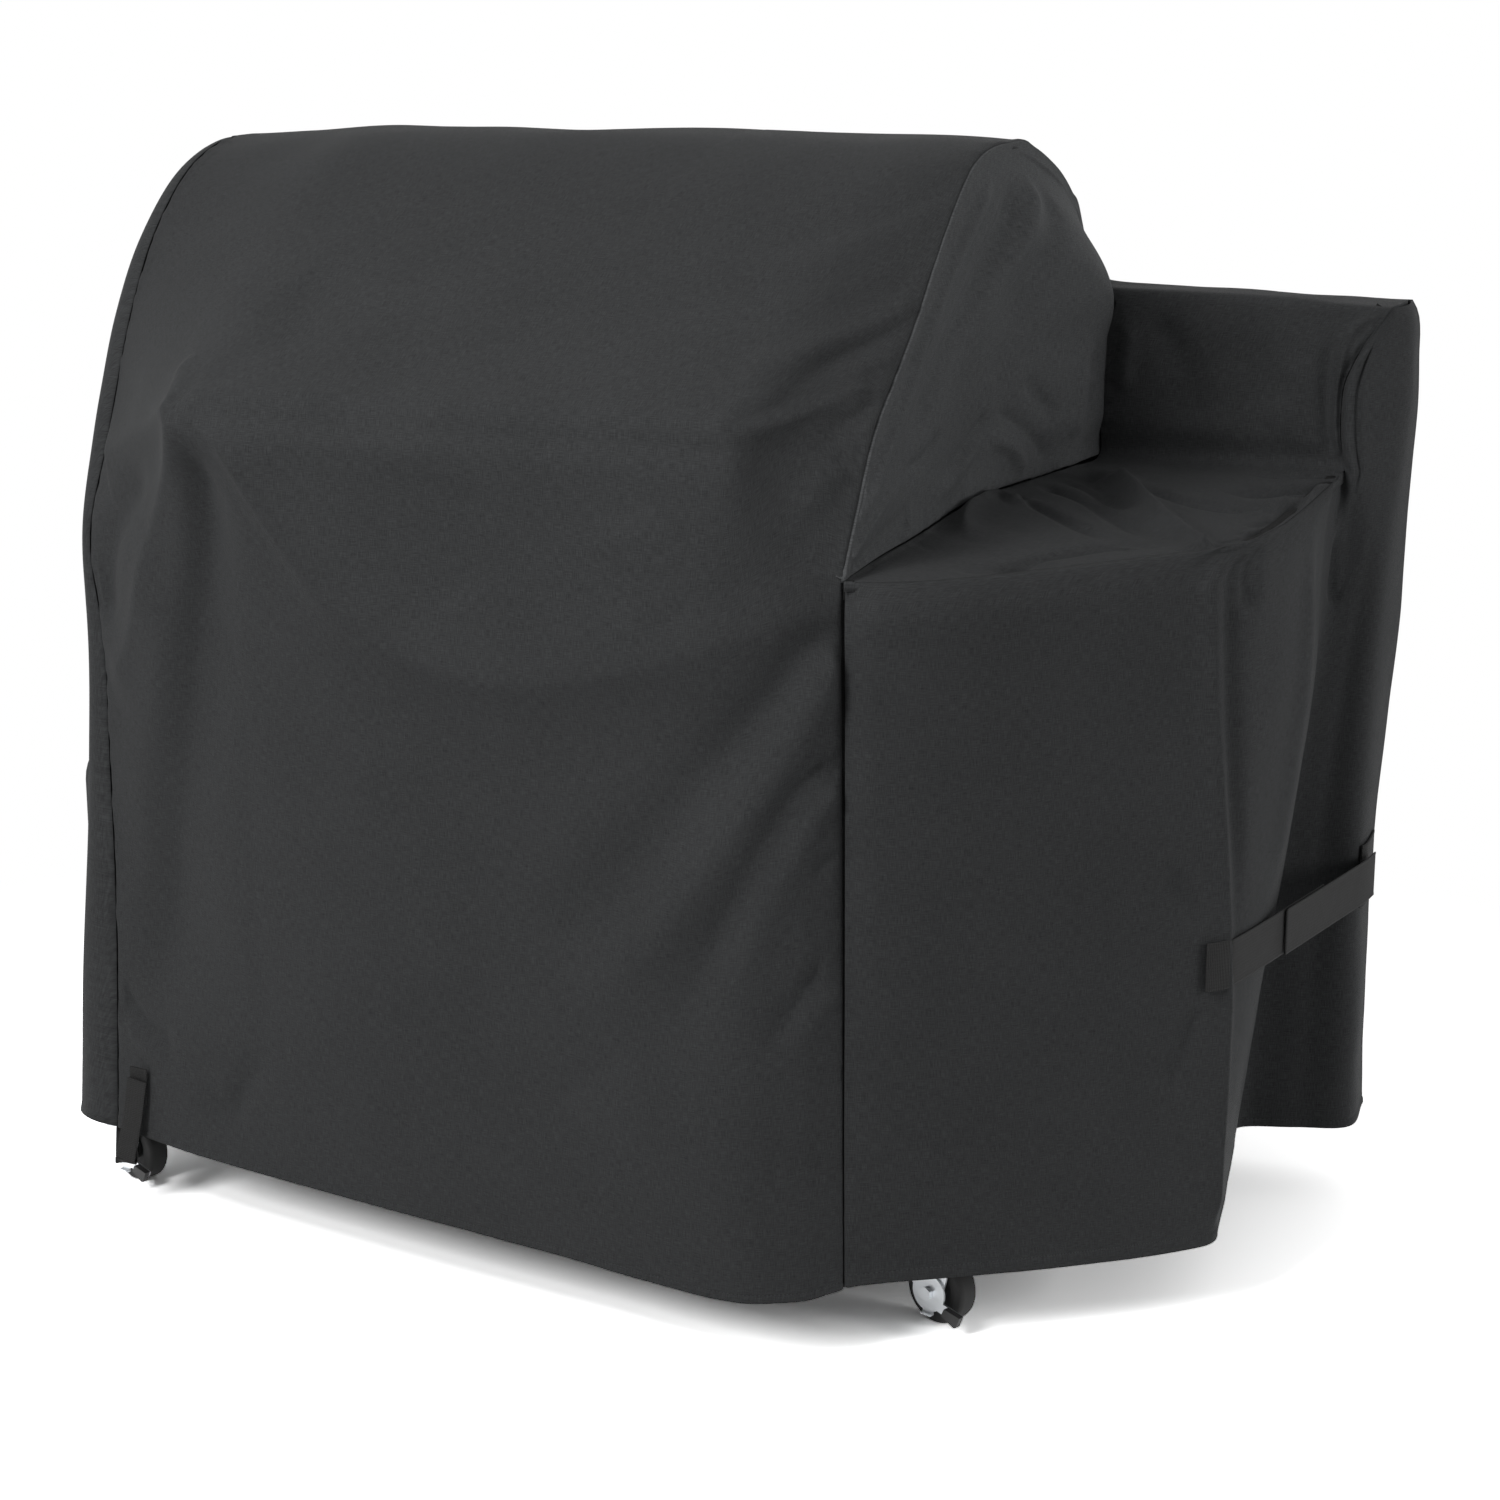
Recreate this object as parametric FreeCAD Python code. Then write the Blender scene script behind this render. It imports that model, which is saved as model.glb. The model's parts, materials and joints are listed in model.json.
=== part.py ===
"""Fitted cloth cover over a grill on casters.  Millimetres, +Z up, front faces -Y.

The origin is on the floor under the middle of the whole object.  The cloth is sewn from
panels, each a thin closed solid here.  Plain forms inside stand for the covered grill.
"""
import FreeCAD, Part
import math
import os
from FreeCAD import Vector

# ---------------------------------------------------------------- driving dimensions
MIDDLE_X = 7.9              # the whole width's middle, in the X used below
HALF_DEPTH = 412.0          # Y, handle ridge to back panel
HEM_Z = 90.0                # height of the hem above the floor
CREST_Z = 1203.0            # top of the lid
CLOTH = 3.0                 # thickness of a cloth panel with its folded seams
SHEET = 2.0                 # wall of the inner forms, and of the tubes under them
GAP = 1.0                   # clear space between neighbouring pieces
OVERLAP = 1.0               # how far a cutting shape reaches past what it cuts

# The main panel's sections, front hem over the top to back hem, as (y, z).
BACK = [(376, 1052), (400, 985), (409, 910), (411.5, 830), (HALF_DEPTH, 740),
        (HALF_DEPTH, 600), (HALF_DEPTH, 430), (HALF_DEPTH, 260), (HALF_DEPTH, 90)]
SEAM_LEFT_X = -600.0
SEAM_LEFT = [(-238, 90), (-220, 350), (-216, 560), (-204, 765), (-185, 873), (-164, 947),
             (-135, 1020), (-90, 1099), (-20, 1165), (60, 1196), (140, 1194), (246, 1158),
             (325, 1106)] + BACK
HANDLE_LEFT_X = -387.0
HANDLE_LEFT = [(-300, 90), (-335, 450), (-368, 780), (-386, 880), (-388, 932), (-366, 968),
               (-290, 1022), (-190, 1092), (-90, 1158), (-10, 1194), (60, 1203), (140, 1197),
               (246, 1158), (325, 1106)] + BACK
HANDLE_RIGHT_X = 245.0
HANDLE_RIGHT = [(-381, 90), (-391, 450), (-402, 780), (-408, 880), (-409, 935), (-390, 970),
                (-310, 1024), (-200, 1096), (-95, 1160), (-10, 1194), (60, 1203), (140, 1199),
                (246, 1158), (325, 1106)] + BACK
SEAM_RIGHT_X = 333.0        # at the shelf; the plane leans outwards by
SEAM_LEAN = 0.0205          # this much per mm of height
SEAM_RIGHT = [(-306, 90), (-332, 450), (-362, 818), (-325, 888), (-288, 949), (-237, 995),
              (-185, 1042), (-120, 1112), (-52, 1172), (0, 1194), (70, 1200), (140, 1196),
              (246, 1158), (325, 1106)] + BACK
END_INSET = 50.0            # how far the left end's flat face is inside its seam
ROUND_INSET = 13.0          # and the same part of the way out, where the edge is rounded
ROUND_SHARE = 0.58
END_TOP_X = -640.0          # left end's flat face at the crest
END_FLARE = 0.0327          # and how much further out it stands per mm below the crest

# The shelf, and the skirt that hangs from it.
SHELF_Z = 817.0
SHELF_EDGE = [(337, -364), (372, -368), (437, -320), (517, -212), (582, -101), (626, -41),
              (646, 60), (650, 190), (652, 265), (665, 292), (684, 306), (690, 325),
              (692, 350), (692, 378), (692, 408)]
SKIRT_HEM = [(337, -302), (364, -273), (449, -208), (534, -141), (604, -86), (629, -50),
             (626, 16), (604, 130), (592, 210), (602, 268), (645, 292), (684, 316),
             (692, 345), (692, 376), (692, 408)]
HOPPER_FRONT_Y = 300.0
HOPPER_X = (341.0, 692.0)
HOPPER_Z = 1024.0
CHEEK_FRONT_Y = 330.0       # where the side's cloth goes on up beside the hopper

# Straps: webbing widths and where they lie.
CINCH_WIDTH = 50.0
CINCH_Z = 388.0
CINCH_START = (637.0, -48.0)    # on the shelf's front corner
CINCH_END = (694.0, 352.0)      # on the back corner of the right side
CINCH_TAIL = 195.0              # y of the front strap's tail end
CINCH_LAP = 88.0                # y of the rear strap's free end
ANCHOR_PLAN = ((614.5, -81.5), (634.5, -52.0))  # the folded end, just round the corner
WEB = 1.6                       # webbing thickness
WEB_GAP = 0.6                   # clear space between two layers of webbing
PATCH_GAP = 0.4                 # clear space between a hook patch and the cloth
PATCH_END = 8.0                 # a rear patch or strap stops this far from the corner's end
REAR_SETTLE = 0.8               # how much nearer the cover the rear strap lies at its back
REAR_PATCH_HALF = 36.0          # half the rear patch's height
LEG_STRAP_WIDTH = 25.0
LEG_STRAP_TOP = (-557.0, 162.0)     # x, z of the free end's middle
LEG_STRAP_BEND = (-575.0, 68.0)     # x, z where it turns back under the hem
LEG_STRAP_Y = -274.0
LEG_PATCH_X = (-8.5, 14.5)      # the patch's sides, from the middle of the free end's top
LEG_PATCH_Z = (-30.0, 13.0)     # and its lower and upper edges, from the same point
LEG_PATCH_T = 1.2

# The stand and the casters.
LEG_SIZE = 28.0
LEG_X = (-647.0, 348.0)
LEG_Y = (-153.0, 250.0)
LEG_Z = (100.0, 430.0)
LEG_FOOT = 50.0             # height of a leg's solid foot
STEM_BORE = 42.0            # depth of the bore in the foot
LOOP_Z = 104.0              # lower edge of the strap's loop round the front left leg
LOOP_GAP = 0.6
LEAD_SEAT = 12.0            # where the strap's lead meets the loop, from the loop's edges
LEAD_BITE = 0.5             # and how deep it goes into it
RAIL = 40.0
WHEEL_R = 37.5
WHEEL_W = 26.0
HUB_R = 25.0
AXLE_R = 4.0
TRAIL = 24.0                # swivel axis to wheel axis
HEADING = -20.0             # degrees: where each caster's wheel face looks, from -Y towards +X
RUNNING = 0.06              # radial clearance of a running fit
FORK_GAP = 17.0             # wheel's middle plane to a fork plate's inner face
FORK_T = 2.5
FORK_TOP = 84.0
FORK_X = (-27.0, 18.0)      # the fork's top, from the swivel axis and from the wheel's axis
FORK_BOSS_R = 12.0
COLLAR_R = 21.0
COLLAR_H = 6.0
STEM_R = 5.5
STEM_LENGTH = 60.0
STEM_HEAD = (9.0, 3.0)      # radius and height
RACE_R = 19.0
RACE_GAP = 0.5
TYRE_FILLET = 5.0
HUB_INSET = 2.0             # the hub's face behind the tyre's
HUB_BOSS_R = 10.0
HUB_GROOVE = (12.0, 21.0)   # inner and outer radius of the ring sunk in each face
HUB_GROOVE_DEPTH = 3.9
BOLT_FLATS = 13.0
BOLT_HEAD = (7.2, 5.5)      # radius that trims its corners, and height
NUT_H = 6.0
LEVER_T = 2.5
LEVER_R = 21.0
LEVER_GAP = 0.4             # between a lever and the fork plate
LEVER_Y = -FORK_GAP - FORK_T - LEVER_GAP - LEVER_T
BOLT_GAP = 0.2
PEDAL_T = 7.0
# Outlines of a brake, as (x, z) with x from the wheel's axis.
LEVER_ARM = [(5, 22), (20, 30), (46, 24), (40, 13)]
LEVER_TAB = [(-7, 22), (-7, 13), (6, 13), (6, 22)]
LEVER_TAB_FOOT = ((-7.0, 6.0), (13.0, 15.5), 4.0)       # x, z and how far it stands out
PEDAL = [(23, 20.5), (27, 29), (48, 25), (43, 13), (40, 12)]

# The covered grill, as plain forms.
LID_PROFILE = [(-205, 850), (-190, 925), (-150, 1003), (-95, 1078), (-25, 1142), (60, 1180),
               (140, 1172), (225, 1128), (300, 1060), (340, 980), (350, 850)]
FORM_X = (-535.0, 325.0)
FIREBOX_BOTTOM = 472.0
HANDLE_X = (-380.0, 238.0)
HANDLE_YZ = (-369.0, 934.0)
HANDLE_R = 14.0
POST_X = (-330.0, 190.0)
POST_HALF = 12.0            # half a post's width
POST_BACK_Y = -150.0
POST_Z = (-18.0, 10.0)      # from the handle's axis
TRAY_DEPTH = 30.0
TRAY = [(345, -88), (572, -88), (612, -32), (630, 60), (632, 292), (345, 292)]
TRAY_INSIDE = [(347, -86), (571, -86), (610, -31), (628, 60), (630, 290), (347, 290)]
HOPPER_BODY = ((345.0, 312.0, 700.0), (676.0, 402.0))
CHUTE_BACK_Y = 348.0
CHUTE_Z = (720.0, 800.0)
BRACKET_T = 4.0
BRACKET_Y = (40.0, 260.0)
BRACKET_LOW_Z = 640.0
RIB_Y = (60.0, 236.0)
RIB_FOOT_Z = 650.0
RIB_END_X = 600.0
RIB_END_H = 25.0


# ---------------------------------------------------------------- small helpers
def export(name, shape):
    """Write one node, after making sure that it is closed and valid."""
    shape = shape.removeSplitter() if shape.ShapeType != "Compound" else shape
    assert shape.isValid(), name
    shape.translate(Vector(-MIDDLE_X, 0, 0))
    shape.exportStep(os.path.join("parts", name + ".step"))
    print(f"{name:26s} {shape.Volume / 1000:10.1f} cm3  solids {len(shape.Solids)}")


def box(low, high):
    size = Vector(*high) - Vector(*low)
    return Part.makeBox(size.x, size.y, size.z, Vector(*low))


def slab(points, z_low, z_high):
    """An upright prism on a closed plan outline of (x, y) points."""
    wire = Part.makePolygon([Vector(x, y, z_low) for x, y in points + points[:1]])
    return Part.Face(wire).extrude(Vector(0, 0, z_high - z_low))


def inward(points, distance):
    """Move an open outline sideways, to the right of its direction of travel."""
    moved = []
    last = len(points) - 1
    for i, (a, b) in enumerate(points):
        a0, b0 = points[max(i - 1, 0)]
        a1, b1 = points[min(i + 1, last)]
        length = math.hypot(a1 - a0, b1 - b0)
        moved.append((a + distance * (b1 - b0) / length, b - distance * (a1 - a0) / length))
    return moved


def spline(vectors):
    curve = Part.BSplineCurve()
    curve.interpolate(vectors)
    return curve.toShape()


def strip_wire(outer, inner, place):
    """A closed wire round a thin strip: outer curve, end, inner curve, end."""
    a = [place(*p) for p in outer]
    b = [place(*p) for p in inner]
    edges = [spline(a), Part.makeLine(a[-1], b[-1]), spline(b[::-1]), Part.makeLine(b[0], a[0])]
    return Part.Wire(edges)


def on_x(x):
    """Place a (y, z) section point on an upright plane at x."""
    return lambda y, z: Vector(x, y, z)


def on_right_end(y, z):
    """Place a section point on the leaning plane of the right seam."""
    return Vector(SEAM_RIGHT_X + SEAM_LEAN * (z - SHELF_Z), y, z)


def on_left_end(share):
    """Place a section point between the left seam's plane (0) and the flared end (1)."""
    def place(y, z):
        end_x = END_TOP_X - END_FLARE * (CREST_Z - z)
        return Vector(SEAM_LEFT_X + share * (end_x - SEAM_LEFT_X), y, z)
    return place


def on_z(z):
    return lambda x, y: Vector(x, y, z)


def closed_face(section, place):
    """The flat face inside a section whose ends are joined along the hem."""
    points = [place(*p) for p in section]
    return Part.Face(Part.Wire([spline(points), Part.makeLine(points[-1], points[0])]))


# ---------------------------------------------------------------- cloth
def drawn_in(distance):
    """The left seam's outline, drawn in all round but not at the hem."""
    drawn = inward(SEAM_LEFT, distance)
    return [(drawn[0][0], HEM_Z)] + drawn[1:-1] + [(drawn[-1][0], HEM_Z)]


def main_panel():
    """Front, top and back in one length."""
    stations = [(on_x(SEAM_LEFT_X), SEAM_LEFT), (on_x(HANDLE_LEFT_X), HANDLE_LEFT),
                (on_x(HANDLE_RIGHT_X), HANDLE_RIGHT), (on_right_end, SEAM_RIGHT)]
    wires = [strip_wire(s, inward(s, CLOTH), place) for place, s in stations]
    return Part.makeLoft(wires, True, True)


def left_end_panel():
    """The rounded edge, in three sections, and the flat face that closes it."""
    stations = [(on_x(SEAM_LEFT_X - GAP / 10), SEAM_LEFT),
                (on_left_end(ROUND_SHARE), drawn_in(ROUND_INSET)),
                (on_left_end(1), drawn_in(END_INSET))]
    wires = [strip_wire(s, inward(s, CLOTH), place) for place, s in stations]
    wall = Part.makeLoft(wires, True, True)
    cap = closed_face(drawn_in(END_INSET), on_left_end(1)).extrude(Vector(-CLOTH, 0, 0))
    return wall.fuse(cap)


def lid_end_panel():
    """The right end, cut off at the shelf."""
    plate = closed_face(SEAM_RIGHT, on_right_end).extrude(Vector(CLOTH, 0, 0))
    above = box((SEAM_RIGHT_X - OVERLAP, -HALF_DEPTH, SHELF_Z + CLOTH),
                (HOPPER_X[1], HALF_DEPTH, CREST_Z))
    return plate.common(above)


def shelf_top_panel():
    """The shelf's edge as far back as the hopper's front."""
    edge = [p for p in SHELF_EDGE if p[1] < HOPPER_FRONT_Y]
    back = [(edge[-1][0], HOPPER_FRONT_Y), (HOPPER_X[0], HOPPER_FRONT_Y)]
    return slab(edge + back, SHELF_Z, SHELF_Z + CLOTH)


def side_panel():
    """Shelf front, right side and the hopper's side: one length of cloth."""
    wires = [strip_wire(edge, inward(edge, -CLOTH), on_z(z))
             for edge, z in ((SKIRT_HEM, HEM_Z), (SHELF_EDGE, SHELF_Z))]
    skirt = Part.makeLoft(wires, True, True)
    cheek = box((HOPPER_X[1] - CLOTH, CHEEK_FRONT_Y, SHELF_Z - GAP / 2),
                (HOPPER_X[1], HALF_DEPTH - CLOTH - GAP, HOPPER_Z - CLOTH))
    return skirt.fuse(cheek)


def hopper_front_panel():
    low = (HOPPER_X[0] + GAP, HOPPER_FRONT_Y, SHELF_Z + CLOTH)
    high = (HOPPER_X[1] - CLOTH - GAP, HOPPER_FRONT_Y + CLOTH, HOPPER_Z - CLOTH)
    return box(low, high)


def hopper_top_panel():
    return box((HOPPER_X[0] + GAP, HOPPER_FRONT_Y, HOPPER_Z - CLOTH),
               (HOPPER_X[1], HALF_DEPTH, HOPPER_Z))


def hopper_back_panel():
    return box((HOPPER_X[0] + GAP, HALF_DEPTH - CLOTH, HEM_Z),
               (HOPPER_X[1], HALF_DEPTH, HOPPER_Z - CLOTH))


# ---------------------------------------------------------------- straps
def upright_web(start, end, z_middle, width, thick=WEB):
    """A flat upright strap between two plan points; thickness grows away from the cover."""
    run = Vector(end[0] - start[0], end[1] - start[1], 0)
    web = Part.makeBox(run.Length, thick, width, Vector(0, -thick, -width / 2))
    web.rotate(Vector(), Vector(0, 0, 1), math.degrees(math.atan2(run.y, run.x)))
    web.translate(Vector(start[0], start[1], z_middle))
    return web


def along_cinch(y, outward=0.0):
    """The strap's straight line at y, moved outwards by a number of millimetres."""
    share = (y - CINCH_START[1]) / (CINCH_END[1] - CINCH_START[1])
    x = CINCH_START[0] + share * (CINCH_END[0] - CINCH_START[0])
    return (x + outward, y)


def cinch_strap():
    """Sewn at the shelf's corner; its tail lies under the rear strap."""
    return upright_web(along_cinch(CINCH_START[1]), along_cinch(CINCH_TAIL), CINCH_Z, CINCH_WIDTH)


def cinch_anchor():
    """The strap's folded end, lying on the shelf front just round the corner."""
    return upright_web(*ANCHOR_PLAN, CINCH_Z, CINCH_WIDTH, 2 * WEB)


def rear_strap():
    """Pressed onto the front strap and held at the back corner."""
    lift = WEB + WEB_GAP
    end = along_cinch(CINCH_END[1] - PATCH_END, lift - REAR_SETTLE)
    return upright_web(along_cinch(CINCH_LAP, lift), end, CINCH_Z, CINCH_WIDTH)


def rear_strap_patch():
    """Hook patch sewn to the back corner, where the rear strap is held."""
    x = HOPPER_X[1] + PATCH_GAP
    return box((x, CINCH_END[1], CINCH_Z - REAR_PATCH_HALF),
               (x + WEB, HALF_DEPTH - PATCH_END, CINCH_Z + REAR_PATCH_HALF))


def leg_strap_tail():
    """The free end, up the outside of the front to its hook patch."""
    run = Vector(LEG_STRAP_TOP[0] - LEG_STRAP_BEND[0], 0, LEG_STRAP_TOP[1] - LEG_STRAP_BEND[1])
    web = Part.makeBox(LEG_STRAP_WIDTH, WEB, run.Length, Vector(-LEG_STRAP_WIDTH / 2, -WEB, 0))
    web.rotate(Vector(), Vector(0, 1, 0), math.degrees(math.atan2(run.x, run.z)))
    web.translate(Vector(LEG_STRAP_BEND[0], LEG_STRAP_Y, LEG_STRAP_BEND[1]))
    return web


def leg_strap_patch():
    """Hook patch sewn to the cloth above the strap's free end."""
    x, z = LEG_STRAP_TOP
    y = LEG_STRAP_Y + PATCH_GAP
    return box((x + LEG_PATCH_X[0], y, z + LEG_PATCH_Z[0]),
               (x + LEG_PATCH_X[1], y + LEG_PATCH_T, z + LEG_PATCH_Z[1]))


def leg_strap_ring():
    """The strap's loop round the foot of the front left leg."""
    x, y = LEG_X[0], LEG_Y[0]
    half = LEG_SIZE / 2 + LOOP_GAP
    outside = half + WEB
    z_high = LOOP_Z + LEG_STRAP_WIDTH
    outer = box((x - outside, y - outside, LOOP_Z), (x + outside, y + outside, z_high))
    return outer.cut(box((x - half, y - half, LOOP_Z - OVERLAP),
                         (x + half, y + half, z_high + OVERLAP)))


def leg_strap_loop():
    """The loop, and the lead that runs forward and down from it under the hem."""
    half = LEG_SIZE / 2 + LOOP_GAP
    top = Vector(LEG_X[0] + half - LEAD_SEAT, LEG_Y[0] - half - WEB + LEAD_BITE,
                 LOOP_Z + LEAD_SEAT)
    foot = Vector(LEG_STRAP_BEND[0], LEG_STRAP_Y + GAP, LEG_STRAP_BEND[1] - 2 * GAP)
    side = Vector(LEG_STRAP_WIDTH / 2, 0, 0)
    lift = Vector(0, 0, WEB)
    wires = [Part.makePolygon([p - side, p + side, p + side + lift, p - side + lift, p - side])
             for p in (foot, top)]
    return leg_strap_ring().fuse(Part.makeLoft(wires, True, True))


# ---------------------------------------------------------------- the covered grill, as plain forms
def lid_solid(inset):
    """The lid's barrel, drawn in all round by inset but open to its base."""
    outline = inward(LID_PROFILE, inset) if inset else LID_PROFILE
    curve = spline([Vector(FORM_X[0] + inset, y, z) for y, z in outline])
    ends = curve.Vertexes
    base = Part.makeLine(ends[1].Point, ends[0].Point)
    length = FORM_X[1] - FORM_X[0] - 2 * inset
    return Part.Face(Part.Wire([curve, base])).extrude(Vector(length, 0, 0))


def lid_form():
    """The lid as a shell, open below."""
    front, back = LID_PROFILE[0][0], LID_PROFILE[-1][0]
    base = LID_PROFILE[0][1]
    inset = SHEET + OVERLAP
    below = box((FORM_X[0] + SHEET, front + inset, base - OVERLAP),
                (FORM_X[1] - SHEET, back - inset, base + SHEET))
    return lid_solid(0).cut(lid_solid(SHEET)).cut(below)


def tub(low, high, open_top=False, open_base=False):
    """A sheet-metal box with its top or its base left open."""
    inner_low = [v + SHEET for v in low]
    inner_high = [v - SHEET for v in high]
    if open_top:
        inner_high[2] = high[2] + SHEET
    if open_base:
        inner_low[2] = low[2] - SHEET
    return box(low, high).cut(box(inner_low, inner_high))


def firebox_form():
    return tub((FORM_X[0], LID_PROFILE[0][0], FIREBOX_BOTTOM),
               (FORM_X[1], LID_PROFILE[-1][0], LID_PROFILE[0][1]), open_top=True)


def handle_bar(radius):
    length = HANDLE_X[1] - HANDLE_X[0]
    return Part.makeCylinder(radius, length, Vector(HANDLE_X[0], *HANDLE_YZ), Vector(1, 0, 0))


def handle_form():
    return handle_bar(HANDLE_R).cut(handle_bar(HANDLE_R - SHEET))


def handle_posts():
    """Two posts from the lid's front to the handle, with their seats round the bar."""
    y, z = HANDLE_YZ
    solids = []
    for x in POST_X:
        post = box((x - POST_HALF, y, z + POST_Z[0]), (x + POST_HALF, POST_BACK_Y, z + POST_Z[1]))
        solids.append(post.cut(handle_bar(HANDLE_R)).cut(lid_solid(0)).Solids[0])
    return Part.makeCompound(solids)


def shelf_form():
    """A tray turned upside down, its right front corner cut back."""
    low, high = SHELF_Z - TRAY_DEPTH, SHELF_Z - GAP
    return slab(TRAY, low, high).cut(slab(TRAY_INSIDE, low - OVERLAP, high - SHEET))


def hopper_form():
    """Fuel hopper, open below, with the chute that joins it to the firebox."""
    low, (x_high, y_high) = HOPPER_BODY
    body = tub(low, (x_high, y_high, HOPPER_Z - CLOTH - GAP), open_base=True)
    return body.fuse(box((FORM_X[1], low[1], CHUTE_Z[0]), (low[0], CHUTE_BACK_Y, CHUTE_Z[1])))


def shelf_bracket():
    """A plate on the firebox's right end, with two ribs under the shelf."""
    top = SHELF_Z - TRAY_DEPTH
    face = FORM_X[1] + BRACKET_T
    bracket = box((FORM_X[1], BRACKET_Y[0], BRACKET_LOW_Z), (face, BRACKET_Y[1], top))
    rib = [(face, RIB_FOOT_Z), (face, top), (RIB_END_X, top), (RIB_END_X, top - RIB_END_H)]
    for y in RIB_Y:
        bracket = bracket.fuse(plate(rib, y, BRACKET_T))
    return bracket


def leg(x, y):
    """Square tube with a solid foot, bored for the caster's stem."""
    half = LEG_SIZE / 2
    core = half - SHEET
    tube = box((x - half, y - half, LEG_Z[0]), (x + half, y + half, LEG_Z[1]))
    inside = box((x - core, y - core, LEG_Z[0] + LEG_FOOT),
                 (x + core, y + core, LEG_Z[1] + OVERLAP))
    return tube.cut(inside).cut(Part.makeCylinder(STEM_R, STEM_BORE, Vector(x, y, LEG_Z[0])))


def rail(low, high, along):
    """Rectangular tube, open at both ends along one axis (0 for X, 1 for Y)."""
    inner_low = [v + SHEET for v in low]
    inner_high = [v - SHEET for v in high]
    inner_low[along] = low[along] - OVERLAP
    inner_high[along] = high[along] + OVERLAP
    return box(low, high).cut(box(inner_low, inner_high))


def rails():
    """Four rails join the legs' tops."""
    half = LEG_SIZE / 2
    low, high = LEG_Z[1], LEG_Z[1] + RAIL
    x0, x1 = LEG_X
    y0, y1 = LEG_Y
    return {
        "front_rail": rail((x0 - half, y0 - half, low), (x1 + half, y0 + half, high), 0),
        "rear_rail": rail((x0 - half, y1 - half, low), (x1 + half, y1 + half, high), 0),
        "left_rail": rail((x0 - half, y0 + half, low), (x0 + half, y1 - half, high), 1),
        "right_rail": rail((x1 - half, y0 + half, low), (x1 + half, y1 - half, high), 1),
    }


def firebox_bearer():
    """Plate between the rails and the firebox."""
    y0, y1 = LEG_Y
    return box((FORM_X[0], y0 - LEG_SIZE / 2, LEG_Z[1] + RAIL),
               (FORM_X[1], y1 + LEG_SIZE / 2, FIREBOX_BOTTOM))


# ---------------------------------------------------------------- casters
# A caster is drawn with its wheel rolling along X and its face towards -Y, the swivel axis
# at the origin and the wheel TRAIL in front of it, then turned to its heading and placed.
def plate(outline, y_low, thick):
    """A sheet standing in the XZ plane, from a closed outline of (x, z) points."""
    wire = Part.makePolygon([Vector(x, y_low, z) for x, z in outline + outline[:1]])
    return Part.Face(wire).extrude(Vector(0, thick, 0))


def from_axle(outline):
    """Move an outline given from the wheel's axis to where the wheel is."""
    return [(TRAIL + x, z) for x, z in outline]


def disc(radius, y_low, thick):
    return Part.makeCylinder(radius, thick, Vector(TRAIL, y_low, WHEEL_R), Vector(0, 1, 0))


def through(radius):
    """A cutter along the wheel's axis, longer than a caster is wide."""
    return disc(radius, -3 * FORK_GAP, 6 * FORK_GAP)


def fork():
    """Two plates, the top that joins them and the collar round the swivel axis."""
    tail, nose = FORK_X[0], TRAIL + FORK_X[1]
    outline = [(tail, FORK_TOP), (tail, 74), (-10, 52), (TRAIL - 11, 28), (TRAIL + 11, 28),
               (TRAIL + 19, 48), (TRAIL + 24, 66), (nose, FORK_TOP)]
    body = box((tail, -FORK_GAP, FORK_TOP - FORK_T), (nose, FORK_GAP, FORK_TOP))
    for y in (-FORK_GAP - FORK_T, FORK_GAP):
        body = body.fuse(plate(outline, y, FORK_T)).fuse(disc(FORK_BOSS_R, y, FORK_T))
    body = body.cut(through(AXLE_R + RUNNING))
    body = body.fuse(Part.makeCylinder(COLLAR_R, COLLAR_H, Vector(0, 0, FORK_TOP)))
    bore_low = Vector(0, 0, FORK_TOP - COLLAR_H)
    return body.cut(Part.makeCylinder(STEM_R + RUNNING, 3 * COLLAR_H, bore_low))


def stem():
    """Swivel stem: in the leg above, through the fork's collar, headed below it."""
    head_r, head_h = STEM_HEAD
    low = Vector(0, 0, FORK_TOP - FORK_T - head_h - RACE_GAP)
    race_low = FORK_TOP + COLLAR_H + RACE_GAP
    race = Part.makeCylinder(RACE_R, LEG_Z[0] - race_low, Vector(0, 0, race_low))
    pin = Part.makeCylinder(STEM_R, STEM_LENGTH, low)
    return pin.fuse(Part.makeCylinder(head_r, head_h, low)).fuse(race)


def tyre():
    ring = disc(WHEEL_R, -WHEEL_W / 2, WHEEL_W)
    rims = [e for e in ring.Edges if e.Curve.TypeId == "Part::GeomCircle"]
    return ring.makeFillet(TYRE_FILLET, rims).cut(through(HUB_R))


def hub():
    """Wheel body with a ring sunk in each face and a boss that nearly fills the fork."""
    face = WHEEL_W / 2 - HUB_INSET
    boss = FORK_GAP - LEVER_GAP
    core = disc(HUB_R, -face, 2 * face).fuse(disc(HUB_BOSS_R, -boss, 2 * boss))
    inner, outer = HUB_GROOVE
    for y in (-face, face - HUB_GROOVE_DEPTH):
        core = core.cut(disc(outer, y, HUB_GROOVE_DEPTH).cut(disc(inner, y, HUB_GROOVE_DEPTH)))
    return core.cut(through(AXLE_R + RUNNING))


def hexagon(across_flats, y_low, thick):
    radius = across_flats / math.sqrt(3)
    angles = [math.radians(60 * i + 30) for i in range(6)]
    points = [(TRAIL + radius * math.cos(a), WHEEL_R + radius * math.sin(a)) for a in angles]
    return plate(points, y_low, thick)


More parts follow.
